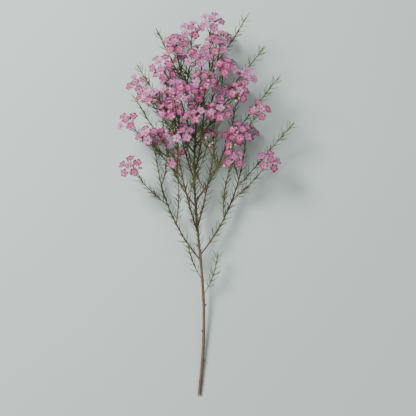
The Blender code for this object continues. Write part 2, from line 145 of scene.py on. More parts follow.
@dataclass(frozen=True)
class StemLine:
    """The line of the main stem and its radii, from the cut end to the tip."""

    length: float = 490 * MM
    root_radius: float = 2.7 * MM
    tip_radius: float = 1.0 * MM
    sway: float = 7 * MM
    sway_halves: float = 2.2
    rise: float = 37 * MM
    rise_length: float = 350 * MM
    sides: int = 8
    swell: float = 1.18
    rod_count: int = 30

    def axis(self, along: float) -> Vector:
        """The point of the axis there.

        Args:
            along: the distance from the cut end.

        Returns:
            The point.
        """
        part = min(along / self.rise_length, 1)
        rise = self.rise * part * part * (3 - 2 * part)
        sway = self.sway * math.sin(self.sway_halves * math.pi * along / self.length)
        flat = self.root_radius * math.cos(math.pi / self.sides)
        return Vector((sway, along, flat + rise))

    def direction(self, along: float) -> Vector:
        """The direction of the stem there, towards its tip."""
        step = 2 * MM
        return (self.axis(along + step) - self.axis(along - step)).normalized()

    def radius(self, along: float) -> float:
        """The radius there, between the nodes."""
        return self.root_radius + (self.tip_radius - self.root_radius) * along / self.length

    def rods(self) -> list[Rod]:
        """The rods that stand for the stem."""
        count = self.rod_count
        cuts = [self.axis(self.length * part / count) for part in range(count + 1)]
        return [(a, b, self.radius(a.y) * self.swell) for a, b in zip(cuts, cuts[1:])]


STEM = StemLine()


@dataclass
class Twig:
    """A branch or branchlet, bent from its first heading towards its tip."""

    owner: str
    parent: Twig | None
    place: float
    heading: Vector
    tip: Vector
    radii: tuple[float, float]
    flowers: int
    twist: float = 0
    rests: bool = False

    gap = 0.5 * MM
    peduncle = 9 * MM
    upturn = 1.15
    curve = 0.5
    rod_count = 8

    @property
    def root(self) -> Vector:
        """Where the twig leaves its parent or the main stem."""
        return self.parent.point(self.place) if self.parent else STEM.axis(self.place)

    @property
    def bend(self) -> Vector:
        """The point that the twig's curve bends towards."""
        return self.root + self.heading * (self.tip - self.root).length * self.curve

    def point(self, part: float) -> Vector:
        """The point at this part of the twig's length."""
        return bent_point(self.root, self.bend, self.tip, part)

    def direction(self, part: float) -> Vector:
        """The direction of the twig there."""
        return bent_direction(self.root, self.bend, self.tip, part)

    def radius(self, part: float) -> float:
        """The radius there."""
        return self.radii[0] + (self.radii[1] - self.radii[0]) * part

    @property
    def length(self) -> float:
        """The twig's length, nearly."""
        return (self.bend - self.root).length * 0.5 + (self.tip - self.root).length * 0.5

    @property
    def dome_axis(self) -> Vector:
        """The direction of the flower stalk at the tip, which turns a little up."""
        return (self.direction(1) + UP * self.upturn).normalized()

    @property
    def dome_centre(self) -> Vector:
        """The point that the florets of the twig's dome spread from."""
        return self.tip + self.dome_axis * (self.gap + self.peduncle)

    def rods(self) -> list[Rod]:
        """The rods that stand for the twig."""
        cuts = [self.point(part / self.rod_count) for part in range(self.rod_count + 1)]
        return [(a, b, self.radius(0.5)) for a, b in zip(cuts, cuts[1:])]


@dataclass
class Floret:
    """One flower: its stalk's root, its centre, where it faces, its radius and its own turn."""

    root: Vector
    centre: Vector
    facing: Vector
    radius: float
    turn: float

    petals = 5
    cup = 1 * MM
    notch = 0.42
    notch_height = 0.6
    hollow = 0.3 * MM
    shoulder = math.radians(19)
    depth = 2.5 * MM
    pedicel = 0.46 * MM
    pedicel_sides = 3
    petal_rod_part = 0.78
    petal_rod_radius = 1.5 * MM
    stalk_rod_start = 0.1

    @property
    def matrix(self) -> Matrix:
        """The flower's own frame, with +Z along its facing."""
        turned = Matrix.Rotation(self.turn, 4, "Z")
        return Matrix.Translation(self.centre) @ aimed(self.facing) @ turned

    def petal_tips(self) -> list[Vector]:
        """The tips of the five petals."""
        reach, tall = self.radius, self.cup + self.hollow
        angles = [math.tau * petal / self.petals for petal in range(self.petals)]
        return [self.matrix @ Vector((reach * math.cos(a), reach * math.sin(a), tall)) for a in angles]

    def rim(self) -> list[Vector]:
        """The corners of the solid floret's rim."""
        corners = []
        for petal in range(self.petals):
            middle = math.tau * petal / self.petals
            for turn, reach, tall in (
                (middle - self.shoulder, 1, self.cup),
                (middle + self.shoulder, 1, self.cup),
                (middle + math.pi / self.petals, self.notch, self.cup * self.notch_height),
            ):
                out = self.radius * reach
                corner = Vector((out * math.cos(turn), out * math.sin(turn), tall + self.hollow))
                corners.append(self.matrix @ corner)
        return corners

    def stalk_end(self) -> list[Vector]:
        """The corners of the solid stalk's foot."""
        foot, wide = self.matrix.inverted() @ self.root, self.pedicel
        turns = [math.tau * side / self.pedicel_sides for side in range(self.pedicel_sides)]
        return [self.matrix @ (foot + Vector((wide * math.cos(a), wide * math.sin(a), 0))) for a in turns]

    def rods(self) -> list[Rod]:
        """The rods that stand for the floret: its stalk and one along each petal."""
        middle, throat = self.centre - self.facing * MM, self.centre - self.facing * self.depth
        ends = [middle.lerp(tip, self.petal_rod_part) for tip in self.petal_tips()]
        petals = [(middle, end, self.petal_rod_radius) for end in ends]
        foot = self.root.lerp(throat, self.stalk_rod_start)
        return [(foot, throat, self.pedicel), (throat, middle, MM), *petals]


def rod_gaps(start: Vector, end: Vector, starts: np.ndarray, ends: np.ndarray) -> np.ndarray:
    """The shortest vector from each of many segments to one segment.

    Args:
        start: the one segment's first end.
        end: its other end.
        starts: the first ends of the many, a row each.
        ends: their other ends.

    Returns:
        One vector a row, from the many to the one.
    """
    start, end = np.array(start), np.array(end)
    one, many, between = end - start, ends - starts, start - starts
    length, lengths = one @ one, (many * many).sum(axis=1)
    along, cross, behind = between @ one, many @ one, (many * between).sum(axis=1)
    spread = np.maximum(length * lengths - cross * cross, LEAST_SPREAD)
    first = np.clip((cross * behind - along * lengths) / spread, 0, 1)
    second = np.clip((cross * first + behind) / lengths, 0, 1)
    first = np.clip((cross * second - along) / length, 0, 1)
    return (start + one * first[:, None]) - (starts + many * second[:, None])


def pushed(gaps: np.ndarray, wanted: float) -> np.ndarray:
    """The sum of the moves away from all that is nearer than wanted."""
    far = np.maximum(np.linalg.norm(gaps, axis=1), LEAST_DISTANCE)
    return (gaps / far[:, None] * np.maximum(wanted - far, 0)[:, None]).sum(axis=0)


class Room:
    """The rods that stand for what has been placed so far, each with the number of its grower."""

    most = 24000
    gap = 0.9 * MM

    def __init__(self) -> None:
        """Starts with nothing placed."""
        self.count = 0
        self.starts = np.zeros((self.most, 3))
        self.ends = np.zeros((self.most, 3))
        self.radii = np.zeros(self.most)
        self.growers = np.zeros(self.most, int)

    def add(self, grower: int, rods: Iterable[Rod]) -> None:
        """Places a grower's rods."""
        for start, end, radius in rods:
            self.starts[self.count], self.ends[self.count] = start, end
            self.radii[self.count], self.growers[self.count] = radius, grower
            self.count += 1

    def free(self, grower: int, rods: Iterable[Rod], gap: float | None = None) -> bool:
        """Whether rods keep the gap to every rod of another grower.

        Args:
            grower: the number whose own rods don't count.
            rods: what would be placed.
            gap: the least gap, or None for the usual one.

        Returns:
            True where there is room.
        """
        least = self.gap if gap is None else gap
        foreign = self.growers[: self.count] != grower
        starts, ends = self.starts[: self.count][foreign], self.ends[: self.count][foreign]
        radii = self.radii[: self.count][foreign]
        for start, end, radius in rods:
            far = np.linalg.norm(rod_gaps(start, end, starts, ends), axis=1)
            if (far - radii - radius).min() < least:
                return False
        return True


@dataclass(frozen=True)
class Habit:
    """How the stem branches and where its flower domes sit, as in its solids."""

    pairs: int = 7
    first_pair: float = 205 * MM
    last_pair: float = 440 * MM
    low_reach: float = 190 * MM
    top_reach: float = 78 * MM
    reach_curve: float = 1.3
    reach_draw: tuple[float, float] = (0.95, 1.05)
    root_spread: float = math.radians(38)
    root_spread_draw: tuple[float, float] = (0.92, 1.08)
    tip_spread: float = math.radians(3)
    tip_spread_draw: tuple[float, float] = (0.7, 1.3)
    low_lift: float = math.radians(2)
    high_lift: float = math.radians(64)
    stub_lift: float = math.radians(32)
    lift_draw: float = 0.12
    flattening: float = 0.62
    stagger: float = 4 * MM
    leader_length: float = 60 * MM
    most_twist: float = 0.7
    branch_radii: tuple[float, float] = (1.25 * MM, 0.75 * MM)
    most_side_twigs: int = 3
    side_twig_radii: tuple[float, float] = (0.8 * MM, 0.6 * MM)
    side_twig_first: float = 0.36
    side_twig_step: float = 0.17
    side_twig_spread: float = math.radians(40)
    side_twig_reach: float = 0.66
    side_twig_least: float = 20 * MM
    side_twig_turn: float = 0.3
    side_twig_draw: tuple[float, float] = (0.9, 1.1)
    low_twig_raise: float = 0.5
    high_twig_raise: float = -0.1
    shoot_radii: tuple[float, float] = (0.7 * MM, 0.4 * MM)
    shoot_place: float = 0.62
    shoot_spread: float = math.radians(27)
    shoot_raise: float = 0.5
    shoot_overtop: float = 52 * MM
    shoot_turn: float = 0.4
    low_shoot_ahead: float = 0.6
    low_shoot_places: tuple[tuple[int, float, float], ...] = (
        (1, 150 * MM, 62 * MM),
        (-1, 172 * MM, 54 * MM),
    )
    end_florets: int = 7
    side_florets: tuple[int, int] = (5, 6)
    pedicel_step: float = 1.1 * MM
    dome_radius: float = 15 * MM
    dome_radius_draw: tuple[float, float] = (0.96, 1.04)
    ring_reach: float = 1.1
    ring_polar: float = math.radians(43)
    ring_polar_step: float = math.radians(5)
    ring_polar_draw: float = 0.4
    ring_turn_draw: float = 0.04
    ring_upturn: float = 0.75
    least_ring: int = 4
    ring_tries: int = 8
    dome_spacing: float = 34 * MM
    dome_clearance: float = 12 * MM
    twig_spacing: float = 3 * MM
    relax_steps: int = 80
    settle_steps: int = 4
    push: float = 0.3
    lowest_tip: float = 9 * MM
    floor_gap: float = 1 * MM
    floret_radius: float = 6.7 * MM
    floret_radius_draw: tuple[float, float] = (0.93, 1.03)
    peduncle_radius: float = 0.9 * MM
    dome_grower: int = 1000

    def grown(self) -> list[Twig]:
        """All twigs: the stem's own flowering top, two low shoots, then each branch's twigs."""
        draw = Draws.BRANCHING.start()
        twigs = []
        for pair in range(self.pairs):
            up = pair / (self.pairs - 1)
            for side in (-1, 1):
                owner = f"leafy_branch_{2 * pair + (side + 3) // 2:02d}"
                place = self.first_pair + (self.last_pair - self.first_pair) * up + side * self.stagger
                twigs += self.grown_branch(owner, pair, side, place, draw)
        top, onward = STEM.axis(STEM.length), STEM.direction(STEM.length)
        start = STEM.length - self.leader_length
        leader = Twig("main_stem", None, start, onward, top, (0, 0), self.end_florets)
        twigs = [leader, *self.low_shoots(), *twigs]
        self.loosen(twigs)
        return twigs

    def low_shoots(self) -> list[Twig]:
        """Short leafy shoots on the lower stem, which are part of it."""
        shoots = []
        for side, place, length in self.low_shoot_places:
            heading = self.fanned(side, self.stub_lift, self.root_spread).normalized()
            ahead = STEM.direction(place) * self.low_shoot_ahead
            tip = STEM.axis(place) + (heading + ahead).normalized() * length
            shoots.append(Twig("main_stem", None, place, heading, tip, self.shoot_radii, 0))
        return shoots

    def grown_branch(
        self, owner: str, pair: int, side: int, place: float, draw: random.Random
    ) -> list[Twig]:
        """A branch with its side twigs and, on every other branch, a leafy shoot past the flowers.

        Args:
            owner: the name of the branch's solid.
            pair: the number of its pair, from the lowest.
            side: -1 for the left and 1 for the right.
            place: how far along the main stem it grows.
            draw: the random draws that all branches share.

        Returns:
            The branch, then its twigs.
        """
        up = pair / (self.pairs - 1)
        reach = self.low_reach + (self.top_reach - self.low_reach) * up**self.reach_curve
        reach = reach * draw.uniform(*self.reach_draw)
        lift = (self.high_lift if pair % 2 else self.low_lift) + draw.uniform(-self.lift_draw, self.lift_draw)
        rooted = self.fanned(side, lift, self.root_spread * draw.uniform(*self.root_spread_draw))
        ended = self.fanned(side, lift, self.tip_spread * draw.uniform(*self.tip_spread_draw))
        tip = STEM.axis(place) + (rooted + ended) * reach * 0.5
        twist = draw.uniform(-self.most_twist, self.most_twist)
        resting = pair % 2 == 0
        radii, florets = self.branch_radii, self.end_florets
        branch = Twig(owner, None, place, rooted, tip, radii, florets, twist, resting)
        grown = [branch]
        raised = self.high_twig_raise if pair % 2 else self.low_twig_raise
        for number in range(round(self.most_side_twigs - (self.most_side_twigs - 1) * up)):
            at = self.side_twig_first + self.side_twig_step * number
            to_right = (side > 0) == (number % 2 > 0)
            turn = -raised if to_right else math.pi + raised
            turn += draw.uniform(-self.side_twig_turn, self.side_twig_turn)
            heading = leaning(branch.direction(at), self.side_twig_spread, turn)
            ahead = leaning(branch.direction(at), self.side_twig_spread * 0.5, turn)
            rest = (1 - at) * self.side_twig_reach * reach + self.side_twig_least
            length = rest * draw.uniform(*self.side_twig_draw)
            tip = branch.point(at) + (heading + ahead) * length * 0.5
            florets = draw.choice(self.side_florets)
            twist = draw.uniform(-self.most_twist, self.most_twist)
            grown.append(Twig(owner, branch, at, heading, tip, self.side_twig_radii, florets, twist))
        if (pair + (side > 0)) % 2:
            turn = -self.shoot_raise if side > 0 else math.pi + self.shoot_raise
            turn += draw.uniform(-self.shoot_turn, self.shoot_turn)
            heading = leaning(branch.direction(self.shoot_place), self.shoot_spread, turn)
            length = (1 - self.shoot_place) * reach + self.shoot_overtop
            tip = branch.point(self.shoot_place) + heading * length
            grown.append(Twig(owner, branch, self.shoot_place, heading, tip, self.shoot_radii, 0))
        return grown

    def fanned(self, side: int, lift: float, spread: float) -> Vector:
        """A direction at the angle spread from +Y, to one side of the stem, lifted and flattened."""
        outward = Vector((side * math.cos(lift), 0, self.flattening * math.sin(lift)))
        return Vector((0, math.cos(spread), 0)) + outward * math.sin(spread)

    def loosen(self, twigs: list[Twig]) -> None:
        """Moves the tips until domes and twigs are clear of each other, and lays low domes down.

        A twig without flowers pushes no dome, because its centre stands a metre below.

        Args:
            twigs: all twigs, of which the first is the main stem's own top and stays.
        """
        for _ in range(self.relax_steps):
            rods = [(number, *rod) for number, twig in enumerate(twigs) if number for rod in twig.rods()]
            rods += [(0, *rod) for rod in STEM.rods()]
            growing = np.array([rod[0] for rod in rods])
            owners = np.array([twigs[rod[0]].owner for rod in rods])
            starts, ends = np.array([rod[1] for rod in rods]), np.array([rod[2] for rod in rods])
            centres = np.array([twig.dome_centre if twig.flowers else twig.tip - UP for twig in twigs])
            for number, twig in enumerate(twigs[1:], 1):
                foreign = owners != twig.owner
                push = np.zeros(3)
                for start, end, _ in twig.rods()[1:]:
                    push += pushed(rod_gaps(start, end, starts[foreign], ends[foreign]), self.twig_spacing)
                if twig.flowers:
                    spot = twig.dome_centre
                    others = np.arange(len(twigs)) != number
                    push += pushed(np.array(spot) - centres[others], self.dome_spacing)
                    passing = growing != number
                    near = rod_gaps(spot, spot + UP * 0.1 * MM, starts[passing], ends[passing])
                    push += pushed(near, self.dome_clearance)
                twig.tip += Vector(push * self.push)
                twig.tip.z = max(twig.tip.z, self.lowest_tip)
                if twig.flowers:
                    lowest = self.lowest_petal(twig, number)
                    twig.tip.z -= lowest if twig.rests else min(lowest - self.floor_gap, 0)
        for number, twig in enumerate(twigs):
            for _ in range(self.settle_steps if twig.rests else 0):
                twig.tip.z -= self.lowest_petal(twig, number)

    def lowest_petal(self, twig: Twig, number: int) -> float:
        """The height of the lowest point of a twig's solid flower dome."""
        florets = self.florets_of(twig, number)
        return min(point.z for floret in florets for point in (*floret.rim(), *floret.stalk_end()))

    def florets_of(self, twig: Twig, number: int, shift: int = 0) -> list[Floret]:
        """The florets of one dome: one in the middle and a ring round it.

        Args:
            twig: the twig that carries the dome.
            number: the twig's number, which seeds the dome.
            shift: which of the ring's turns is tried.

        Returns:
            The florets, the middle one first.
        """
        draw = Draws.DOME.start(number)
        axis, middle = twig.dome_axis, twig.dome_centre
        ring = twig.flowers - 1
        polar = self.ring_polar + self.ring_polar_step * (ring - self.least_ring)
        phase = draw.uniform(0, math.tau) + math.tau / ring * shift / self.ring_tries
        grown = []
        for place in range(twig.flowers):
            reach = self.dome_radius * draw.uniform(*self.dome_radius_draw)
            if place == 0:
                aim = leaning(axis, draw.uniform(0, self.ring_polar_step), phase)
            else:
                strayed = draw.uniform(-self.ring_turn_draw, self.ring_turn_draw)
                turn = phase + math.tau * (place + strayed) / ring
                tilted = draw.uniform(-self.ring_polar_draw, self.ring_polar_draw) * self.ring_polar_step
                aim = leaning(axis, polar + tilted, turn)
                reach *= self.ring_reach
            root = middle - axis * (MM + self.pedicel_step * place)
            facing = (aim + axis * self.ring_upturn).normalized()
            radius = self.floret_radius * draw.uniform(*self.floret_radius_draw)
            grown.append(Floret(root, middle + aim * reach, facing, radius, draw.uniform(0, math.tau)))
        return grown

    def domes(self, twigs: list[Twig], room: Room) -> dict[str, tuple[Twig, list[Floret]]]:
        """The florets of each dome that have room.

        Args:
            twigs: all twigs, loosened.
            room: what is placed so far, which the florets join.

        Returns:
            By the name of its solid, the twig that carries a dome and its florets.
        """
        carried = {}
        for number, twig in enumerate(twigs):
            if not twig.flowers:
                continue
            grower = self.dome_grower + number
            room.add(grower, [(twig.tip + twig.dome_axis * MM, twig.dome_centre, self.peduncle_radius)])
            best: list[Floret] = []
            for shift in range(1 if twig.rests else self.ring_tries):
                tried = self.florets_of(twig, number, shift)
                kept = [floret for floret in tried if room.free(grower, floret.rods())]
                best = max(best, kept, key=len)
            for floret in best:
                room.add(grower, floret.rods())
            carried[f"flower_cluster_{len(carried) + 1:02d}"] = (twig, best)
        return carried


@dataclass
class Needle:
    """One needle leaf: its foot, its tip, the twig's direction there and how young it is."""

    foot: Vector
    tip: Vector
    onward: Vector
    youth: float


@dataclass(frozen=True)
class Foliage:
    """Where needles grow: the coarse ones of the solids, then finer ones between them."""

    lengths: tuple[float, float] = (10 * MM, 15 * MM)
    radius: float = 0.5 * MM
    rod_start: float = 0.12
    spread: float = math.radians(38)
    spread_draw: float = 0.2
    step: float = 36 * MM
    shoot_step: float = 18 * MM
    base: float = 1.5 * MM
    bare_branch_root: float = 18 * MM
    bare_twig_root: float = 10 * MM
    floor_gap: float = 1 * MM
    fine_step: float = 3.5 * MM
    fine_step_draw: tuple[float, float] = (0.75, 1.25)
    fine_lengths: tuple[float, float] = (9 * MM, 16 * MM)
    fine_spread: tuple[float, float] = (0.7, 1.15)
    fine_turn: float = 0.35
    fine_root: float = 0.6
    fine_tip: float = 0.5 * MM
    fine_rod_start: float = 0.2
    fine_rod_radius: float = 0.8
    fine_gap: float = 0.1 * MM
    missing: float = 0.1
    old_youth: float = 0.3
    young_length: float = 26 * MM
    stem_number: int = -1
    stem_leaves_from: float = 212 * MM
    stem_leaf_gap: float = 2.6 * MM
    stem_spread: tuple[float, float] = (0.7, 1.1)
    stem_rod_start: float = 0.3

    def on_stem(self, room: Room) -> list[Needle]:
        """The needles of the main stem's own upper part, in opposite pairs.

        Args:
            room: what is placed so far, which the needles join.

        Returns:
            The needles that have room.
        """
        draw = Draws.FINE_NEEDLES.start(self.stem_number)
        needles, along, quarter = [], self.stem_leaves_from, 0
        while along < STEM.length - self.stem_leaf_gap:
            onward = STEM.direction(along)
            for side in (0, 2):
                turn = (side + quarter) * math.pi / 2 + draw.uniform(-self.fine_turn, self.fine_turn)
                aim = leaning(onward, self.spread * draw.uniform(*self.stem_spread), turn)
                foot = STEM.axis(along)
                tip = foot + aim * (STEM.radius(along) + draw.uniform(*self.fine_lengths))
                rods = [(foot.lerp(tip, self.stem_rod_start), tip, self.radius * self.fine_rod_radius)]
                if tip.z > self.floor_gap and room.free(0, rods, self.fine_gap):
                    room.add(0, rods)
                    youth = self.old_youth * math.exp(-(STEM.length - along) / self.young_length)
                    needles.append(Needle(foot, tip, onward, youth))
            quarter += 1
            along += self.fine_step * draw.uniform(*self.fine_step_draw)
        return needles

    def coarse(self, twig: Twig, number: int, forks: Sequence[float], room: Room) -> list[Needle]:
        """The needles that the solid twig has.

        Args:
            twig: the twig that they grow on.
            number: its number, which seeds the draws.
            forks: the parts of its length where other twigs leave it.
            room: what is placed so far, which the needles join.

        Returns:
            The needles, from the twig's root to its tip.
        """
        draw = Draws.COARSE_NEEDLES.start(number)
        needles = []
        for node, plain in self.stops(twig, forks)[1]:
            if not plain:
                needles += self.at_node(twig, number, node, room, draw)
        return needles

    def stops(self, twig: Twig, forks: Sequence[float]) -> tuple[float, list[tuple[float, bool]]]:
        """Where a twig's solid has its rings.

        Args:
            twig: the twig.
            forks: the parts of its length where other twigs leave it.

        Returns:
            The part where it begins, then each ring's part, True where it is bare.
        """
        begin = 0.0
        if twig.parent is None and twig.owner != "main_stem":
            surface = STEM.radius(twig.place) * STEM.swell + twig.gap
            sine = twig.heading.cross(STEM.direction(twig.place)).length
            begin = surface / sine / twig.length
        bare = [begin + self.bare_branch_root * 0.5 / twig.length] if begin else []
        stops = [(fork, True) for fork in (*forks, *bare)]
        for node in self.nodes(twig, self.step if twig.flowers else self.shoot_step):
            if all(abs(node - fork) * twig.length > 3 * self.base for fork, _ in stops):
                stops.append((node, False))
        return begin, sorted(stops)

    def solid_rods(self, twig: Twig, forks: Sequence[float]) -> list[Rod]:
        """The rods that stand for the straight lengths of a twig's solid."""
        begin, stops = self.stops(twig, forks)
        parts = [begin, *(part for part, _ in stops), 1]
        return [(twig.point(a), twig.point(b), twig.radius(a)) for a, b in zip(parts, parts[1:])]

    def nodes(self, twig: Twig, step: float) -> list[float]:
        """The parts of a twig's length where leaves grow, from its tip back."""
        first = self.bare_branch_root if twig.parent is None else self.bare_twig_root
        count = int((twig.length - first - self.base * 2) / step) + 1
        return sorted((twig.length - self.base * 1.5 - step * node) / twig.length for node in range(count))

    def at_node(
        self, twig: Twig, number: int, node: float, room: Room, draw: random.Random
    ) -> list[Needle]:
        """Two opposite pairs of needles, the second a quarter turn on.

        Args:
            twig: the twig that they grow on.
            number: its number in the room.
            node: the part of its length where they grow.
            room: what is placed so far, which the needles join.
            draw: the random draws that the twig's needles share.

        Returns:
            The needles that have room.
        """
        needles = []
        for row, side in ((0, 0), (0, 2), (1, 1), (1, 3)):
            part = node + (row - 0.5) * self.base / twig.length
            turn = side * math.pi / 2 + twig.twist
            spread = self.spread + draw.uniform(-self.spread_draw, self.spread_draw)
            aim = leaning(twig.direction(part), spread, turn)
            foot = twig.point(part)
            tip = foot + aim * draw.uniform(*self.lengths)
            rods = [(foot.lerp(tip, self.rod_start), tip, self.radius)]
            if tip.z > self.floor_gap and room.free(number, rods):
                room.add(number, rods)
                needles.append(Needle(foot, tip, twig.direction(part), self.youth(twig, part)))
        return needles

    def youth(self, twig: Twig, part: float) -> float:
        """How young a leaf is, from 0 on old wood to 1 at the end of a shoot."""
        left = (1 - part) * twig.length
        fresh = math.exp(-left / self.young_length)
        return self.old_youth * fresh if twig.flowers else fresh

    def fine(self, twig: Twig, number: int, room: Room) -> list[Needle]:
        """More needles in opposite pairs, each pair a quarter turn on from the last.

        Args:
            twig: the twig that they grow on.
            number: its number, which seeds the draws.
            room: what is placed so far, which the needles join.

        Returns:
            The needles that have room.
        """
        draw = Draws.FINE_NEEDLES.start(number)
        first = self.bare_branch_root if twig.parent is None else self.bare_twig_root
        needles, along, quarter = [], first * self.fine_root, 0
        while along < twig.length - self.fine_tip:
            part = along / twig.length
            for side in (0, 2):
                if draw.random() < self.missing:
                    continue
                turn = (side + quarter) * math.pi / 2 + twig.twist
                turn += draw.uniform(-self.fine_turn, self.fine_turn)
                onward = twig.direction(part)
                aim = leaning(onward, self.spread * draw.uniform(*self.fine_spread), turn)
                foot = twig.point(part)
                tip = foot + aim * draw.uniform(*self.fine_lengths)
                rods = [(foot.lerp(tip, self.fine_rod_start), tip, self.radius * self.fine_rod_radius)]
                if tip.z > self.floor_gap and room.free(number, rods, self.fine_gap):
                    room.add(number, rods)
                    needles.append(Needle(foot, tip, onward, self.youth(twig, part)))
            quarter += 1
            along += self.fine_step * draw.uniform(*self.fine_step_draw)
        return needles


class Tissue(Enum):
    """The kinds of surface on the plant, each with a finish of its own."""

    BARK = "bark"
    CUT_WOOD = "cut_wood"
    TWIG = "twig"
    NEEDLE = "needle"
    PETAL = "petal"
    CUP = "flower_cup"
    GREEN = "flower_green"
    STAMEN = "stamen"
    BUD = "bud"


Palette = dict[Tissue, bpy.types.Material]


def ring_faces(rings: int, sides: int) -> np.ndarray:
    """The quads of a tube, ring by ring, facing outward."""
    ring, side = np.meshgrid(np.arange(rings - 1), np.arange(sides), indexing="ij")
    a, b = ring * sides + side, ring * sides + (side + 1) % sides
    return np.stack([a, b, b + sides, a + sides], axis=-1).reshape(-1, 4)


def end_faces(rings: int, sides: int) -> list[np.ndarray]:
    """The two flat ends of a tube, each one face."""
    last = (rings - 1) * sides
    return [np.arange(sides)[::-1].reshape(1, -1), np.arange(last, last + sides).reshape(1, -1)]


@dataclass
class MeshStock:
    """Points and faces gathered for one mesh, with each point's place on its own part.

    A place is three numbers: how far along its part the point is, how far across or round it
    is (for a needle, how young that is), and a draw that its part shares.
    """

    points: list[np.ndarray] = field(default_factory=list)
    places: list[np.ndarray] = field(default_factory=list)
    faces: list[tuple[np.ndarray, Tissue]] = field(default_factory=list)
    count: int = 0

    def add(
        self, points: np.ndarray, places: np.ndarray, faces: Iterable[np.ndarray], tissue: Tissue
    ) -> None:
        """Adds one patch of a tissue.

        Args:
            points: a row of three for each point.
            places: a row of three for each point.
            faces: groups of faces, each with as many columns as its faces have corners.
            tissue: the patch's finish.
        """
        self.points.append(points)
        self.places.append(places)
        self.faces += [(group + self.count, tissue) for group in faces]
        self.count += len(points)

    def tube(self, rings: np.ndarray, places: np.ndarray, tissue: Tissue, ends: bool = True) -> None:
        """Adds a tube from its rings of points, closed at both ends unless told otherwise."""
        count, sides = rings.shape[:2]
        faces = [ring_faces(count, sides), *(end_faces(count, sides) if ends else [])]
        self.add(rings.reshape(-1, 3), places.reshape(-1, 3), faces, tissue)

    def turned(self, rings: np.ndarray, matrix: Matrix, first: float, tone: float, tissue: Tissue) -> None:
        """Adds a turned shape of a flower.

        Args:
            rings: its rings of points, in its own frame.
            matrix: where the flower sits.
            first: the place of its lowest ring, where its highest has 1.
            tone: the flower's shared draw.
            tissue: its finish.
        """
        count, sides = rings.shape[:2]
        places = placed(np.linspace(first, 1, count), np.linspace(0, 1, sides), tone)
        self.tube(moved(rings, matrix), places, tissue)

    def stalk(
        self,
        centres: Sequence[Vector],
        normals: Sequence[Vector],
        radii: Sequence[float],
        sides: int,
        last: float,
        tone: float,
    ) -> None:
        """Adds a green flower stalk.

        Args:
            centres: the middle of each ring.
            normals: the direction that each ring is square to.
            radii: the radius of each ring, in millimetres.
            sides: how many points a ring has.
            last: the place of its last ring, where its first has 0.
            tone: the flower's shared draw.
        """
        wide = np.array(radii)[:, None] * MM * np.ones((1, sides))
        places = placed(np.linspace(0, last, len(radii)), np.linspace(0, 1, sides), tone)
        self.tube(swept(centres, normals, wide), places, Tissue.GREEN)

    def piece(self, name: str, palette: Palette) -> bpy.types.Object:
        """Makes the mesh object, smooth-shaded, with the materials of the tissues in it.

        Args:
            name: the object's name.
            palette: the material of each tissue.

        Returns:
            The linked object.
        """
        tissues = list(dict.fromkeys(tissue for _, tissue in self.faces))
        mesh = bpy.data.meshes.new(name)
        points = np.concatenate(self.points).astype(np.float32)
        mesh.vertices.add(len(points))
        mesh.vertices.foreach_set("co", points.ravel())
        corners = np.concatenate([group.ravel() for group, _ in self.faces]).astype(np.int32)
        sizes = np.concatenate([np.full(len(group), group.shape[1]) for group, _ in self.faces])
        which = np.concatenate([np.full(len(group), tissues.index(kind)) for group, kind in self.faces])
        mesh.loops.add(len(corners))
        mesh.loops.foreach_set("vertex_index", corners)
        mesh.polygons.add(len(sizes))
        mesh.polygons.foreach_set("loop_start", (np.cumsum(sizes) - sizes).astype(np.int32))
        mesh.polygons.foreach_set("material_index", which.astype(np.int32))
        mesh.polygons.foreach_set("use_smooth", np.ones(len(sizes), bool))
        layer = mesh.attributes.new("place", "FLOAT_VECTOR", "POINT")
        layer.data.foreach_set("vector", np.concatenate(self.places).astype(np.float32).ravel())
        mesh.update(calc_edges=True)
        mesh.validate()
        for tissue in tissues:
            mesh.materials.append(palette[tissue])
        made = bpy.data.objects.new(name, mesh)
        bpy.context.scene.collection.objects.link(made)
        return made


def moved(points: np.ndarray, matrix: Matrix) -> np.ndarray:
    """Points taken through a matrix, in an array of the same shape."""
    turn = np.array(matrix.to_3x3())
    return points @ turn.T + np.array(matrix.translation)


def placed(along: np.ndarray, around: np.ndarray, draw: float) -> np.ndarray:
    """Places for a grid of points, from one row of numbers each way and a shared draw."""
    grid = np.meshgrid(along, around, indexing="ij")
    return np.stack([*grid, np.full_like(grid[0], draw)], axis=-1)


def swept(
    centres: Sequence[Vector], normals: Sequence[Vector], radii: np.ndarray, turn: float = 0
) -> np.ndarray:
    """The rings of a tube along a line.

    Args:
        centres: the middle of each ring.
        normals: the direction that each ring is square to.
        radii: the radius of each point, a row for each ring.
        turn: the angle that the rings are turned by.

    Returns:
        An array of rings by sides by three.
    """
    angles = ring_angles(radii.shape[1]) + turn
    level = np.array([across(normal, 0) for normal in normals])
    upright = np.cross(np.array(normals), level)
    spokes = level[:, None] * np.cos(angles)[:, None] + upright[:, None] * np.sin(angles)[:, None]
    return np.array(centres)[:, None] + spokes * radii[..., None]


def lathed(profile: Profile, sides: int, ribs: int = 0, depth: float = 0) -> np.ndarray:
    """The rings of a turned shape round +Z.

    Args:
        profile: the radius and height of each ring, in millimetres, from the low outer edge on.
        sides: how many points a ring has.
        ribs: how many ribs run up it.
        depth: how deep the ribs are, as a share of the radius.

    Returns:
        An array of rings by sides by three, in metres.
    """
    angles = ring_angles(sides)
    wave = 1 + depth * np.cos(ribs * angles)
    wide, tall = np.array(profile).T[..., None] * MM
    x, y = wide * wave * np.cos(angles), wide * wave * np.sin(angles)
    return np.stack([x, y, np.broadcast_to(tall, x.shape)], axis=-1)


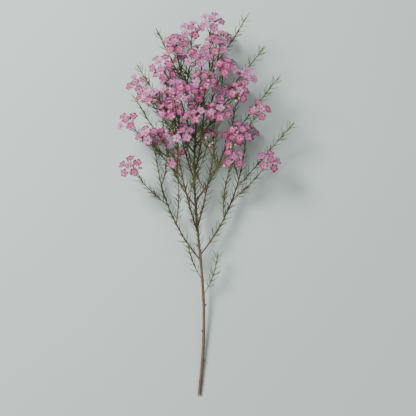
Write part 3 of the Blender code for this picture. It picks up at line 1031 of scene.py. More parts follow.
@dataclass(frozen=True)
class FloretForm:
    """The shape of an open floret, in its own frame: millimetres, and shares of a length."""

    claw: float = 2.0
    half_width: float = 2.62
    usual_radius: float = 6.5
    widest: float = 0.52
    tip_narrowing: float = 0.955
    claw_width: float = 0.42
    rows: tuple[float, ...] = (0, 0.14, 0.32, 0.5, 0.67, 0.82, 0.93, 1.0)
    columns: int = 7
    thickness: float = 0.3
    spoon: float = 0.085
    side_sweep: float = 0.35
    petal_foot: float = 0.3
    petal_rise: float = 0.26
    petal_droop: float = 0.16
    sides: int = 20
    sepal_rows: tuple[float, ...] = (0, 0.5, 0.85, 1.0)
    sepal_half_widths: tuple[float, ...] = (0.75, 0.8, 0.55, 0.2)
    sepal_foot: float = 2.1
    sepal_lengths: tuple[float, float] = (1.0, 1.3)
    sepal_thickness: float = 0.11
    cup_rim: Profile = ((2.5, 0.12), (2.42, 0.42), (2.22, 0.58), (1.98, 0.45))
    cup_floor: Profile = ((1.7, 0.08), (1.15, -0.16), (0.6, -0.18), (0.3, -0.02))
    style: Profile = ((0.16, 0.5), (0.12, 1.35), (0.24, 1.5), (0.2, 1.68), (0.05, 1.74))
    base_cone: Profile = ((0.5, -3.35), (0.75, -3.05), (1.2, -2.35), (1.75, -1.45))
    base_rim: Profile = ((2.2, -0.6), (2.42, -0.05), (2.46, 0.18))
    ribs: int = 10
    rib_depth: float = 0.035
    stamen_count: int = 10
    stamen_rows: tuple[float, ...] = (0, 0.4, 0.75, 1.0)
    stamen_widths: tuple[float, ...] = (0.17, 0.14, 0.11, 0.1)
    stamen_ring: float = 2.25
    stamen_foot: float = 0.45
    anther_profile: Profile = ((0.06, -0.17), (0.2, -0.08), (0.21, 0.06), (0.06, 0.17))
    anther_sides: int = 5
    stalk_radii: tuple[float, ...] = (0.5, 0.42, 0.38, 0.37, 0.4, 0.5)
    stalk_top: float = 3.2
    stalk_bend: float = 0.2
    stalk_place: float = 0.35
    stalk_sides: int = 5

    def build(self, stock: MeshStock, floret: Floret, draw: random.Random) -> None:
        """Adds a whole floret: petals, calyx lobes, nectar cup, stamens, ribbed base and stalk.

        Args:
            stock: the mesh that it joins.
            floret: where it sits.
            draw: its random draws.
        """
        tone = draw.random()
        matrix = floret.matrix
        open_way = draw.uniform(0.85, 1.15)
        for petal in range(floret.petals):
            rings, places = self.petal(floret.radius / MM, open_way, tone, draw)
            turned = Matrix.Rotation(math.tau * petal / floret.petals + draw.uniform(-0.04, 0.04), 4, "Z")
            stock.tube(moved(rings * MM, matrix @ turned), places, Tissue.PETAL)
            lobe, lobe_places = self.sepal(tone, draw)
            between = Matrix.Rotation(math.tau * (petal + 0.5) / floret.petals, 4, "Z")
            stock.tube(moved(lobe * MM, matrix @ between), lobe_places, Tissue.GREEN)
        cup = lathed((*self.cup_rim, *self.cup_floor, *self.style), self.sides)
        stock.turned(cup, matrix, 0, tone, Tissue.CUP)
        self.stamens(stock, matrix, tone, draw)
        base = lathed((*self.base_cone, *self.base_rim), self.sides, self.ribs, self.rib_depth)
        stock.turned(base, matrix, self.stalk_place, tone, Tissue.GREEN)
        self.stalk(stock, floret, tone)

    def petal(
        self, radius: float, open_way: float, tone: float, draw: random.Random
    ) -> tuple[np.ndarray, np.ndarray]:
        """One round petal along +X: a thin spoon with a narrow foot.

        Args:
            radius: how far its tip is from the floret's middle.
            open_way: how far it lies open, 1 being usual.
            tone: the floret's shared draw.
            draw: its random draws.

        Returns:
            Its rings of points, in millimetres, and their places.
        """
        along = np.array(self.rows)
        tip = radius * draw.uniform(0.96, 1.02)
        wide = self.half_width * radius / self.usual_radius * draw.uniform(0.93, 1.06)
        past = np.maximum(along - self.widest, 0) / (1 - self.widest)
        before = np.maximum(self.widest - along, 0) / self.widest
        half = wide * np.sqrt(1 - (self.tip_narrowing * past) ** 2)
        half = half * (1 - (1 - self.claw_width) * before**1.4)
        v = np.linspace(1, -1, self.columns)
        u, v = np.meshgrid(along, v, indexing="ij")
        x = self.claw + (tip - self.claw) * u - self.side_sweep * v * v * np.sin(math.pi * u)
        y = half[:, None] * v
        wave, phase = draw.uniform(0.05, 0.17), draw.uniform(0, math.tau)
        z = self.petal_foot + (self.petal_rise / open_way) * (x - self.claw)
        z = z - self.petal_droop * (open_way - 0.8) * u * u * (tip - self.claw)
        z = z + self.spoon * y * y * (1 - 0.4 * u) + 0.12 * v * u + draw.uniform(-0.1, 0.14) * u * u
        z = z + wave * np.sin(5 * v + 4 * u + phase) * u * np.abs(v) ** 1.5
        thick = self.thickness * (1 - v**4) * (1 - 0.75 * u**5) * 0.5
        top = np.stack([x, y, z + thick], axis=-1)
        under = np.stack([x, y, z - thick], axis=-1)[:, -2:0:-1]
        shade = tone + draw.uniform(-0.04, 0.04)
        places = np.stack([u, v, np.full_like(u, shade)], axis=-1)
        return np.concatenate([top, under], axis=1), np.concatenate([places, places[:, -2:0:-1]], axis=1)

    def sepal(self, tone: float, draw: random.Random) -> tuple[np.ndarray, np.ndarray]:
        """A small rounded calyx lobe along +X, under the gap between two petals.

        Args:
            tone: the floret's shared draw.
            draw: its random draws.

        Returns:
            Its rings of points, in millimetres, and their places.
        """
        half = np.array(self.sepal_half_widths)
        u, v = np.meshgrid(np.array(self.sepal_rows), np.array([1.0, 0.0, -1.0]), indexing="ij")
        x, y = self.sepal_foot + draw.uniform(*self.sepal_lengths) * u, half[:, None] * v
        z = 0.02 + 0.42 * u + 0.1 * v * v
        thick = self.sepal_thickness * (1 - v * v)
        top, under = np.stack([x, y, z + thick], -1), np.stack([x, y, z - thick], -1)[:, -2:0:-1]
        places = np.stack([0.9 + 0.1 * u, v, np.full_like(u, tone)], axis=-1)
        return np.concatenate([top, under], axis=1), np.concatenate([places, places[:, -2:0:-1]], axis=1)

    def stamens(self, stock: MeshStock, matrix: Matrix, tone: float, draw: random.Random) -> None:
        """Adds short stamens that lean in over the cup, each with a pale anther.

        Args:
            stock: the mesh that they join.
            matrix: the floret's own frame.
            tone: the floret's shared draw.
            draw: its random draws.
        """
        steps, wide = np.array(self.stamen_rows), np.array(self.stamen_widths)
        angles = ring_angles(4)
        anther = lathed(self.anther_profile, self.anther_sides) / MM
        for number in range(self.stamen_count):
            strayed = number + draw.uniform(-0.15, 0.15)
            turn = Matrix.Rotation(math.tau * strayed / self.stamen_count, 4, "Z")
            height, lean = draw.uniform(0.75, 1.0), draw.uniform(0.55, 0.85)
            x = self.stamen_ring + 0.1 * np.sin(math.pi * steps) - lean * steps**2
            z = self.stamen_foot + height * np.sin(0.5 * math.pi * steps)
            rings = np.stack(
                [
                    x[:, None] + wide[:, None] * 0.7 * np.cos(angles),
                    wide[:, None] * np.sin(angles),
                    np.broadcast_to(z[:, None], (len(steps), len(angles))),
                ],
                axis=-1,
            )
            stock.tube(moved(rings * MM, matrix @ turn), placed(steps * 0.6, angles, tone), Tissue.STAMEN)
            bead = anther + np.array([x[-1] - 0.03, 0, z[-1] + 0.05])
            spots = placed(np.ones(len(anther)), np.linspace(0, 1, self.anther_sides), tone)
            stock.tube(moved(bead * MM, matrix @ turn), spots, Tissue.STAMEN)

    def stalk(self, stock: MeshStock, floret: Floret, tone: float) -> None:
        """Adds the thin stalk, which bends from its root to the back of the floret.

        Args:
            stock: the mesh that it joins.
            floret: the floret that it carries.
            tone: the floret's shared draw.
        """
        root, end = floret.root, floret.centre - floret.facing * self.stalk_top * MM
        reach = (end - root).length
        bend = end - (floret.facing + (end - root).normalized()) * reach * self.stalk_bend
        last = len(self.stalk_radii) - 1
        parts = [ring / last for ring in range(last + 1)]
        centres = [bent_point(root, bend, end, part) for part in parts]
        normals = [bent_direction(root, bend, end, part) for part in parts]
        stock.stalk(centres, normals, self.stalk_radii, self.stalk_sides, self.stalk_place, tone)


@dataclass(frozen=True)
class BudForm:
    """The shape of a closed bud, in its own frame: millimetres, and shares of a length."""

    radius: float = 1.75
    sides: int = 10
    rings: int = 7
    tallness: float = 0.95
    seam_depth: float = 0.05
    base_cone: Profile = ((0.4, -2.9), (0.75, -2.4), (1.15, -1.7), (1.5, -1.0))
    base_rim: Profile = ((1.66, -0.45), (1.55, -0.3))
    ribs: int = 5
    rib_depth: float = 0.05
    stalk_radii: tuple[float, ...] = (0.42, 0.34, 0.4)
    base_place: float = 0.4
    stalk_top: float = 2.7
    stalk_place: float = 0.35
    stalk_sides: int = 5

    def build(self, stock: MeshStock, bud: Floret, draw: random.Random) -> None:
        """Adds a bud with its stalk, closed petals overlapping in a round head.

        Args:
            stock: the mesh that it joins.
            bud: where it sits.
            draw: its random draws.
        """
        tone, size = draw.random(), bud.radius / (self.radius * MM)
        matrix = bud.matrix @ Matrix.Scale(size, 4)
        angles = ring_angles(self.sides)
        polar = np.linspace(0.62 * math.pi, 0.02 * math.pi, self.rings)
        seams = 1 - self.seam_depth * np.abs(np.cos(2.5 * angles)) * np.sin(polar)[:, None]
        wide = self.radius * np.sin(polar)[:, None] * seams
        tall = np.broadcast_to(self.radius * self.tallness * np.cos(polar)[:, None], wide.shape)
        head = np.stack([wide * np.cos(angles), wide * np.sin(angles), tall], axis=-1) * MM
        stock.tube(moved(head, matrix), placed(np.linspace(0, 1, self.rings), angles, tone), Tissue.BUD)
        base = lathed((*self.base_cone, *self.base_rim), self.sides, self.ribs, self.rib_depth)
        stock.turned(base, matrix, self.base_place, tone, Tissue.GREEN)
        end = bud.centre - bud.facing * self.stalk_top * MM * size
        centres = [bud.root.lerp(end, part) for part in (0, 0.5, 1)]
        normals = [bud.facing] * len(centres)
        stock.stalk(centres, normals, self.stalk_radii, self.stalk_sides, self.stalk_place, tone)


@dataclass(frozen=True)
class FlowerDome:
    """A flower head at the end of a twig: its stalk, its florets and buds where there is room.

    The ranges of the buds' roots, reaches and radii and the stalk's radii are in millimetres.
    """

    twig: Twig
    florets: list[Floret]
    number: int
    floret_form: FloretForm = FloretForm()
    bud_form: BudForm = BudForm()
    most_buds: int = 7
    bud_tries: int = 44
    bud_gap: float = 0.4 * MM
    bud_polars: tuple[float, float] = (0.35, 1.45)
    bud_roots: tuple[float, float] = (1, 6)
    bud_reaches: tuple[float, float] = (10.5, 15)
    bud_radii: tuple[float, float] = (1.6, 2.2)
    bud_rod_length: float = 2 * MM
    bud_rod_radius: float = 1.9 * MM
    lowest_bud: float = 4 * MM
    petal_clearance: float = 4.1 * MM
    stalk_radii: tuple[float, ...] = (0.62, 0.66, 0.7, 0.72, 0.78, 0.8, 0.78, 0.7, 0.35)
    stalk_sides: int = 8
    stalk_extra: float = 1.2 * MM
    stalk_place: float = 0.2

    def build(self, stock: MeshStock, room: Room) -> None:
        """Adds the whole head.

        Args:
            stock: the mesh that it joins.
            room: what is placed so far, which the buds join.
        """
        draw = Draws.FLOWERS.start(self.number)
        self.peduncle(stock)
        for floret in self.florets:
            self.floret_form.build(stock, floret, draw)
        for bud in self.buds(room, draw):
            self.bud_form.build(stock, bud, draw)

    def peduncle(self, stock: MeshStock) -> None:
        """Adds the stalk that the florets share, with a slight swelling where they leave it.

        Args:
            stock: the mesh that it joins.
        """
        axis, count = self.twig.dome_axis, len(self.stalk_radii)
        long = self.twig.peduncle + self.stalk_extra
        centres = [self.twig.tip + axis * long * part for part in np.linspace(0, 1, count)]
        stock.stalk(centres, [axis] * count, self.stalk_radii, self.stalk_sides, self.stalk_place, 0.5)

    def buds(self, room: Room, draw: random.Random) -> Iterator[Floret]:
        """Finds places for buds where the head has room for them.

        Args:
            room: what is placed so far, which the buds join.
            draw: the head's random draws.

        Yields:
            Where each bud sits.
        """
        axis, middle = self.twig.dome_axis, self.twig.dome_centre
        found = 0
        for _ in range(self.bud_tries):
            aim = leaning(axis, draw.uniform(*self.bud_polars), draw.uniform(0, math.tau))
            root = middle - axis * draw.uniform(*self.bud_roots) * MM
            centre = middle + aim * draw.uniform(*self.bud_reaches) * MM
            size, turn = draw.uniform(*self.bud_radii) * MM, draw.uniform(0, math.tau)
            bud = Floret(root, centre, (centre - root).normalized(), size, turn)
            rods = [(centre - bud.facing * self.bud_rod_length, centre, self.bud_rod_radius)]
            if centre.z < self.lowest_bud or not self.clear(bud):
                continue
            if not room.free(self.grower, rods, self.bud_gap):
                continue
            room.add(self.grower, rods)
            yield bud
            found += 1
            if found == self.most_buds:
                return

    @property
    def grower(self) -> int:
        """The number that the head's rods have in the room."""
        return Habit.dome_grower + self.number

    def clear(self, bud: Floret) -> bool:
        """Whether a bud is clear of this head's own petals.

        Args:
            bud: the bud that would be placed.

        Returns:
            True where it is clear.
        """
        rods = [rod for floret in self.florets for rod in floret.rods()[2:]]
        starts = np.array([rod[0] for rod in rods])
        ends = np.array([rod[1] + (rod[1] - rod[0]) * 0.25 for rod in rods])
        foot = bud.centre - bud.facing * self.bud_rod_length
        far = np.linalg.norm(rod_gaps(foot, bud.centre, starts, ends), axis=1)
        return bool(far.min() > self.petal_clearance)


@dataclass(frozen=True)
class LeafyTwig:
    """A twig's wood and its needles."""

    twig: Twig
    needles: list[Needle]
    number: int
    sides: int = 7
    ring_step: float = 2.6 * MM
    needle_rows: tuple[float, ...] = (0, 0.1, 0.35, 0.65, 0.87, 1.0)
    needle_widths: tuple[float, ...] = (0.42, 0.74, 0.98, 0.92, 0.6, 0.1)
    needle_section: tuple[float, ...] = (1.2, 0.7, 1.2, 0.86)
    needle_width: float = 0.62 * MM
    usual_needle: float = 13 * MM
    needle_bends: tuple[float, float] = (0.06, 0.15)
    least_rings: int = 8
    plain_wood: float = 0.93
    node_swell: float = 0.2
    node_reach: float = 1.2 * MM
    foot_swell: float = 0.5 * MM
    foot_reach: float = 2.5 * MM
    ridge_size: float = 0.05
    ridge_drift: float = 9 * MM

    def build(self, stock: MeshStock) -> None:
        """Adds the wood, then each needle."""
        draw = Draws.TWIG_SKIN.start(self.number)
        if self.twig.radii[0]:
            self.wood(stock, draw)
        for needle in self.needles:
            self.needle(stock, needle, draw)

    def wood(self, stock: MeshStock, draw: random.Random) -> None:
        """Adds the twig's tube, a little thicker at its leaf nodes and at its foot.

        Args:
            stock: the mesh that it joins.
            draw: the twig's random draws.
        """
        twig = self.twig
        count = max(self.least_rings, round(twig.length / self.ring_step))
        parts = np.linspace(0, 1, count + 1)
        feet = np.array([(needle.foot - twig.root).length for needle in self.needles] or [0.0])
        along = np.array([(twig.point(part) - twig.root).length for part in parts])
        near = np.exp(-((along[:, None] - feet[None]) ** 2) / self.node_reach**2).max(axis=1)
        radii = np.array([twig.radius(part) for part in parts]) * (self.plain_wood + self.node_swell * near)
        if twig.parent is not None:
            radii = radii + self.foot_swell * np.exp(-along / self.foot_reach)
        angles = ring_angles(self.sides)
        ridge = 1 + self.ridge_size * np.sin(angles * 2 + twig.twist + along[:, None] / self.ridge_drift)
        centres = [twig.point(part) for part in parts]
        normals = [twig.direction(part) for part in parts]
        if twig.flowers:
            normals[-1] = twig.dome_axis
        places = placed(self.age(parts), angles, draw.random())
        stock.tube(swept(centres, normals, radii[:, None] * ridge, twig.twist), places, Tissue.TWIG)

    def age(self, parts: np.ndarray) -> np.ndarray:
        """How green the wood is along the twig, from 0 for old bark to 1 for a new tip."""
        if self.twig.parent is None and self.twig.flowers:
            return 0.75 * parts**1.2
        return 0.35 + 0.5 * parts if self.twig.flowers else 0.2 + 0.8 * parts**2

    def needle(self, stock: MeshStock, needle: Needle, draw: random.Random) -> None:
        """Adds one needle: narrow at its foot, keeled, bent a little forward, with a fine point.

        Args:
            stock: the mesh that it joins.
            needle: where it grows.
            draw: the twig's random draws.
        """
        foot, tip = needle.foot, needle.tip
        long = (tip - foot).length
        bend = foot.lerp(tip, 0.5) - needle.onward * long * draw.uniform(*self.needle_bends)
        parts = self.needle_rows
        centres = [bent_point(foot, bend, tip, part) for part in parts]
        normals = [bent_direction(foot, bend, tip, part) for part in parts]
        wide = self.needle_width * (0.72 + 0.28 * long / self.usual_needle) * draw.uniform(0.9, 1.1)
        radii = np.array(self.needle_widths)[:, None] * wide * np.array(self.needle_section)
        aim = normals[0]
        side = needle.onward.cross(aim).normalized()
        level = across(aim, 0)
        turn = math.atan2(side.dot(aim.cross(level)), side.dot(level))
        places = placed(np.array(parts), np.linspace(0, 1, 4), 0)
        places[..., 1] = needle.youth
        places[..., 2] = draw.random()
        stock.tube(swept(centres, normals, radii, turn), places, Tissue.NEEDLE)


@dataclass(frozen=True)
class MainStem:
    """The woody main stem: fibrous bark, swollen nodes, trimmed stubs and a slanted cut."""

    sides: int = 20
    ring_step: float = 1.7 * MM
    slant: float = -0.9
    slanted_rings: int = 7
    swell_count: int = 8
    swell_reach: float = 3.2 * MM
    plain_wood: float = 0.93
    node_swell: float = 0.17
    bark_ridges: tuple[tuple[int, float], ...] = ((3, 0.022), (5, 0.02), (7, 0.018), (9, 0.012))
    cut_depth: float = 0.12 * MM
    cut_shares: tuple[float, ...] = (1.0, 0.86, 0.55, 0.25, 0.06)
    stub_places: tuple[float, ...] = (48 * MM, 92 * MM, 131 * MM)
    stub_length: float = 7 * MM
    stub_radius: float = 1.1 * MM
    stub_sides: int = 12
    stub_rows: tuple[float, ...] = (0, 0.25, 0.4, 0.55, 0.75, 0.93, 1.0)
    stub_widths: tuple[float, ...] = (1.6, 1.45, 1.2, 1.05, 0.98, 0.92, 0.8)
    stub_shares: tuple[float, ...] = (1.0, 0.8, 0.4, 0.08)
    habit: Habit = Habit()

    def build(self, stock: MeshStock, twigs: Sequence[Twig]) -> None:
        """Adds the stem and its stubs.

        Args:
            stock: the mesh that they join.
            twigs: all twigs, whose feet the stem swells at.
        """
        draw = Draws.BARK.start()
        self.trunk(stock, twigs, draw)
        for number, place in enumerate(self.stub_places):
            self.stub(stock, number, place, draw)

    def trunk(self, stock: MeshStock, twigs: Sequence[Twig], draw: random.Random) -> None:
        """Adds the stem's tube, and the pale wood of its cut end.

        Args:
            stock: the mesh that they join.
            twigs: all twigs, whose feet the stem swells at.
            draw: the stem's random draws.
        """
        count = round(STEM.length / self.ring_step)
        stops = np.linspace(0, STEM.length, count + 1)
        angles = ring_angles(self.sides)
        swell_step = STEM.length / self.swell_count
        swells = [swell_step * (number + 1 / 3) for number in range(self.swell_count)]
        swells += [twig.place for twig in twigs if twig.parent is None and twig.radii[0]]
        near = np.exp(-((stops[:, None] - np.array(swells)[None]) ** 2) / self.swell_reach**2).max(axis=1)
        radii = np.array([STEM.radius(stop) for stop in stops]) * (self.plain_wood + self.node_swell * near)
        relief = np.zeros((len(stops), self.sides))
        for ridges, size in self.bark_ridges:
            drift = stops[:, None] * draw.uniform(9, 26) * draw.choice((-1, 1))
            fade = 0.6 + 0.4 * np.sin(stops[:, None] * draw.uniform(60, 170) + draw.uniform(0, 6))
            relief += size * fade * np.sin(ridges * angles + drift + draw.uniform(0, 6))
        worn = np.clip(1.25 - stops / STEM.length, 0.3, 1)[:, None]
        radii = radii[:, None] * (1 + relief * worn)
        centres = [STEM.axis(stop) for stop in stops]
        normals = [STEM.direction(stop) for stop in stops]
        rings = swept(centres, normals, radii)
        self.slope(rings, normals[0], centres[0])
        places = placed(stops, angles, 0.5)
        faces = [ring_faces(len(stops), self.sides), end_faces(len(stops), self.sides)[1]]
        stock.add(rings.reshape(-1, 3), places.reshape(-1, 3), faces, Tissue.BARK)
        self.cut_face(stock, rings[0], normals[0])

    def slope(self, rings: np.ndarray, normal: Vector, centre: Vector) -> None:
        """Slants the first rings, most at the cut, so that they don't cross each other.

        Args:
            rings: the stem's rings, which it changes.
            normal: the direction of the stem at the cut.
            centre: the middle of the cut.
        """
        upright = np.array(normal.cross(across(normal, 0)))
        for number in range(self.slanted_rings):
            share = 1 - number / self.slanted_rings
            out = (rings[number] - np.array(centre)) @ upright
            rings[number] += np.array(normal) * (self.slant * share * out)[:, None]

    def cut_face(self, stock: MeshStock, rim: np.ndarray, normal: Vector) -> None:
        """Adds the pale cut wood inside the bark's rim, with rings towards the pith.

        Args:
            stock: the mesh that it joins.
            rim: the bark's first ring.
            normal: the direction of the stem at the cut.
        """
        rings = self.shrunk(rim, self.cut_shares)
        rings[1:] -= np.array(normal) * self.cut_depth
        self.wood_disc(stock, rings, self.cut_shares, flipped=True)

    def shrunk(self, rim: np.ndarray, shares: Sequence[float]) -> np.ndarray:
        """A rim drawn in towards its middle, a ring for each share of its width."""
        middle = rim.mean(axis=0)
        return middle + (rim - middle)[None] * np.array(shares)[:, None, None]

    def wood_disc(
        self, stock: MeshStock, rings: np.ndarray, shares: Sequence[float], flipped: bool = False
    ) -> None:
        """Adds a face of cut wood.

        Args:
            stock: the mesh that it joins.
            rings: its rings, from the rim to the pith.
            shares: how wide each ring is, which colours it.
            flipped: whether it faces back along the stem.
        """
        count, sides = rings.shape[:2]
        faces = [ring_faces(count, sides), end_faces(count, sides)[1]]
        if flipped:
            faces = [group[:, ::-1] for group in faces]
        places = placed(np.array(shares), np.linspace(0, 1, sides), 0.5)
        stock.add(rings.reshape(-1, 3), places.reshape(-1, 3), faces, Tissue.CUT_WOOD)

    def stub(self, stock: MeshStock, number: int, place: float, draw: random.Random) -> None:
        """Adds the short stub of a side twig that was trimmed off, with its own cut face.

        Args:
            stock: the mesh that it joins.
            number: its number from the cut end.
            place: how far along the stem it is.
            draw: the stem's random draws.
        """
        base = STEM.axis(place)
        aim = self.habit.fanned(-1 if number % 2 else 1, self.habit.stub_lift, self.habit.root_spread)
        aim = aim.normalized()
        parts, wide = np.array(self.stub_rows), np.array(self.stub_widths) * self.stub_radius
        angles = ring_angles(self.stub_sides)
        radii = wide[:, None] * (1 + 0.04 * np.sin(3 * angles + number) + 0.03 * np.sin(5 * angles))
        centres = [base + aim * self.stub_length * part for part in parts]
        rings = swept(centres, [aim] * len(parts), radii)
        lean = draw.uniform(-0.3, 0.3)
        rings[-1] += np.array(aim) * (lean * (rings[-1] - rings[-1].mean(axis=0)) @ np.array(UP))[:, None]
        places = placed(place + self.stub_length * parts, angles, 0.5)
        stock.tube(rings, places, Tissue.BARK, ends=False)
        self.wood_disc(stock, self.shrunk(rings[-1], self.stub_shares), self.stub_shares)


class Number:
    """A number in a material's nodes, which takes part in Python sums."""

    def __init__(self, nodes: Nodes, socket: bpy.types.NodeSocket) -> None:
        """Wraps an output socket."""
        self.nodes = nodes
        self.socket = socket

    def maths(self, operation: str, *others: Number | float, flipped: bool = False) -> Number:
        """Adds a Math node.

        Args:
            operation: the node's operation.
            others: its other values.
            flipped: whether this number comes second.

        Returns:
            The node's result.
        """
        values = [*others, self] if flipped else [self, *others]
        node = self.nodes.add("ShaderNodeMath", {"operation": operation}, dict(enumerate(values)))
        return Number(self.nodes, node.outputs[0])

    def __add__(self, other: Number | float) -> Number:
        """The sum."""
        return self.maths("ADD", other)

    __radd__ = __add__

    def __mul__(self, other: Number | float) -> Number:
        """The product."""
        return self.maths("MULTIPLY", other)

    __rmul__ = __mul__

    def __sub__(self, other: Number | float) -> Number:
        """The difference."""
        return self.maths("SUBTRACT", other)

    def __rsub__(self, other: Number | float) -> Number:
        """The difference, the other way round."""
        return self.maths("SUBTRACT", other, flipped=True)

    def clamped(self) -> Number:
        """The number held from 0 to 1."""
        return self.maths("MAXIMUM", 0.0).maths("MINIMUM", 1.0)

    def step(self, low: float, high: float) -> Number:
        """A smooth rise from 0 at low to 1 at high."""
        settings = {"interpolation_type": "SMOOTHSTEP"}
        inputs = {"Value": self, "From Min": low, "From Max": high}
        return Number(self.nodes, self.nodes.add("ShaderNodeMapRange", settings, inputs).outputs[0])


class Nodes:
    """The nodes of one material, built round its Principled shader."""

    def __init__(self, name: str) -> None:
        """Makes the material."""
        self.material = bpy.data.materials.new(name)
        self.material.use_nodes = True
        self.tree = self.material.node_tree
        self.shader = self.tree.nodes["Principled BSDF"]

    def add(
        self,
        kind: str,
        settings: dict[str, object] | None = None,
        inputs: dict[int | str, object] | None = None,
    ) -> bpy.types.Node:
        """Adds a node.

        Args:
            kind: the node's type.
            settings: its own settings; "stops" are a ramp's places and colours.
            inputs: a value, a Number or a socket for each input, by number or name.

        Returns:
            The node.
        """
        node = self.tree.nodes.new(kind)
        for name, value in (settings or {}).items():
            if name == "stops":
                self.fill_ramp(node.color_ramp, value)
            else:
                setattr(node, name, value)
        for key, value in (inputs or {}).items():
            self.feed(node.inputs[key], value)
        return node

    def fill_ramp(self, ramp: bpy.types.ColorRamp, stops: Sequence[tuple[float, Colour]]) -> None:
        """Gives a colour ramp its stops."""
        while len(ramp.elements) < len(stops):
            ramp.elements.new(1.0)
        for element, (place, colour) in zip(ramp.elements, stops):
            element.position = place
            element.color = (*colour, 1)

    def feed(self, socket: bpy.types.NodeSocket, value: object) -> None:
        """Sets a socket's value, or links a number or an output to it."""
        if isinstance(value, Number):
            value = value.socket
        if isinstance(value, bpy.types.NodeSocket):
            self.tree.links.new(value, socket)
        elif socket.type == "RGBA":
            socket.default_value = (*value, 1)
        else:
            socket.default_value = value

    def place(self) -> tuple[Number, Number, Number]:
        """The three numbers of a point's place on its part."""
        found = self.add("ShaderNodeAttribute", {"attribute_name": "place"})
        parts = self.add("ShaderNodeSeparateXYZ", None, {0: found.outputs["Vector"]})
        along, around, draw = (Number(self, output) for output in parts.outputs)
        return along, around, draw

    def noise(self, scale: float, detail: float = 3, vector: bpy.types.NodeSocket | None = None) -> Number:
        """Noise from 0 to 1 with features of about a metre over its scale."""
        where = vector or self.add("ShaderNodeTexCoord").outputs["Object"]
        inputs = {"Vector": where, "Scale": scale, "Detail": detail}
        return Number(self, self.add("ShaderNodeTexNoise", None, inputs).outputs["Fac"])

    def vector(self, x: Number | float, y: Number | float, z: Number | float) -> bpy.types.NodeSocket:
        """A vector from three numbers."""
        return self.add("ShaderNodeCombineXYZ", None, {0: x, 1: y, 2: z}).outputs[0]

    def mixed(self, share: Number | float, one: object, other: object) -> bpy.types.NodeSocket:
        """A colour between two, by a share from 0 to 1."""
        inputs = {0: share, 6: one, 7: other}
        return self.add("ShaderNodeMix", {"data_type": "RGBA"}, inputs).outputs[2]

    def ramp(self, value: Number, stops: Sequence[tuple[float, Colour]]) -> bpy.types.NodeSocket:
        """A colour by a number, between stops."""
        return self.add("ShaderNodeValToRGB", {"stops": stops}, {0: value}).outputs[0]

    def bump(self, height: Number, depth: float, strength: float) -> bpy.types.NodeSocket:
        """A normal roughened by a height, in metres of depth."""
        inputs = {"Height": height, "Distance": depth, "Strength": strength}
        return self.add("ShaderNodeBump", None, inputs).outputs[0]

    def finish(
        self,
        colour: object,
        roughness: Number | float,
        normal: bpy.types.NodeSocket | None = None,
        others: dict[str, object] | None = None,
    ) -> bpy.types.Material:
        """Feeds the shader.

        Args:
            colour: the base colour.
            roughness: the roughness.
            normal: the roughened normal, or None for a plain one.
            others: the values of other sockets, by name.

        Returns:
            The material.
        """
        values = {"Base Color": colour, "Roughness": roughness, **(others or {})}
        if normal is not None:
            values["Normal"] = normal
        for name, value in values.items():
            self.feed(self.shader.inputs[name], value)
        return self.material


@dataclass(frozen=True)
class PetalFinish:
    """Waxy petals: pale at the foot, magenta to lilac outwards by a draw for each floret, with a painted
    highlight that pales the side edges and tips.
    """

    foot: Colour = (0.78, 0.38, 0.42)
    deep: Colour = (0.20, 0.004, 0.085)
    magenta: Colour = (0.34, 0.012, 0.165)
    lilac: Colour = (0.36, 0.075, 0.32)
    # pale is the young florets' own tone, and also the colour of the painted highlight on the petals' side
    # edges and tips.
    pale: Colour = (0.60, 0.19, 0.46)
    roughness: float = 0.42
    glow_weight: float = 0.08
    glow_radius: tuple[float, float, float] = (0.6, 0.25, 0.4)
    glow_scale: float = 2 * MM

    def material(self) -> bpy.types.Material:
        """Builds the material."""
        nodes = Nodes("waxy_petal")
        along, across_it, draw = nodes.place()
        tones = [(0.0, self.deep), (0.35, self.magenta), (0.62, self.magenta), (0.85, self.lilac)]
        body = nodes.ramp(draw, [*tones, (1.0, self.pale)])
        cloud = nodes.noise(260, 2)
        body = nodes.mixed(((cloud - 0.45) * 0.8).clamped(), body, self.pale)
        # Painted highlight: the petals' side edges and tips are mixed towards pale.
        edge = (across_it * across_it).step(0.5, 1.0) * 0.3 + along.step(0.85, 1.0) * 0.2
        body = nodes.mixed(edge.clamped(), body, self.pale)
        veins = nodes.noise(1.0, 1, nodes.vector(along * 1.2, across_it * 7, draw * 40))
        body = nodes.mixed((1 - along.step(0.02, 0.42)) * (0.6 + veins * 0.5), body, self.foot)
        grain = nodes.noise(2600, 2) * 0.5 + veins
        roughness = self.roughness + (cloud - 0.5) * 0.25
        glow = {
            "Subsurface Weight": self.glow_weight,
            "Subsurface Radius": self.glow_radius,
            "Subsurface Scale": self.glow_scale,
        }
        return nodes.finish(body, roughness, nodes.bump(grain, 0.12 * MM, 0.55), glow)


@dataclass(frozen=True)
class CupFinish:
    """The glossy nectar cup: a pale rim, a crimson wall and a darker or greener floor."""

    rim: Colour = (0.42, 0.020, 0.070)
    wall: Colour = (0.26, 0.004, 0.026)
    floor: Colour = (0.10, 0.004, 0.012)
    fresh: Colour = (0.40, 0.33, 0.040)
    style: Colour = (0.74, 0.62, 0.30)

    def material(self) -> bpy.types.Material:
        """Builds the material."""
        nodes = Nodes("nectar_cup")
        along, _, draw = nodes.place()
        old = [(0.0, self.rim), (0.12, self.rim), (0.2, self.wall), (0.5, self.floor), (0.6, self.style)]
        new = [(0.0, self.rim), (0.12, self.rim), (0.2, self.wall), (0.44, self.wall), (0.52, self.fresh)]
        colour = nodes.mixed(draw.step(0.45, 0.8), nodes.ramp(along, old), nodes.ramp(along, new))
        wet = nodes.noise(1500, 2)
        coat = {"Coat Weight": 0.4, "Coat Roughness": 0.2}
        return nodes.finish(colour, 0.2 + wet * 0.25, nodes.bump(wet, 0.1 * MM, 0.4), coat)


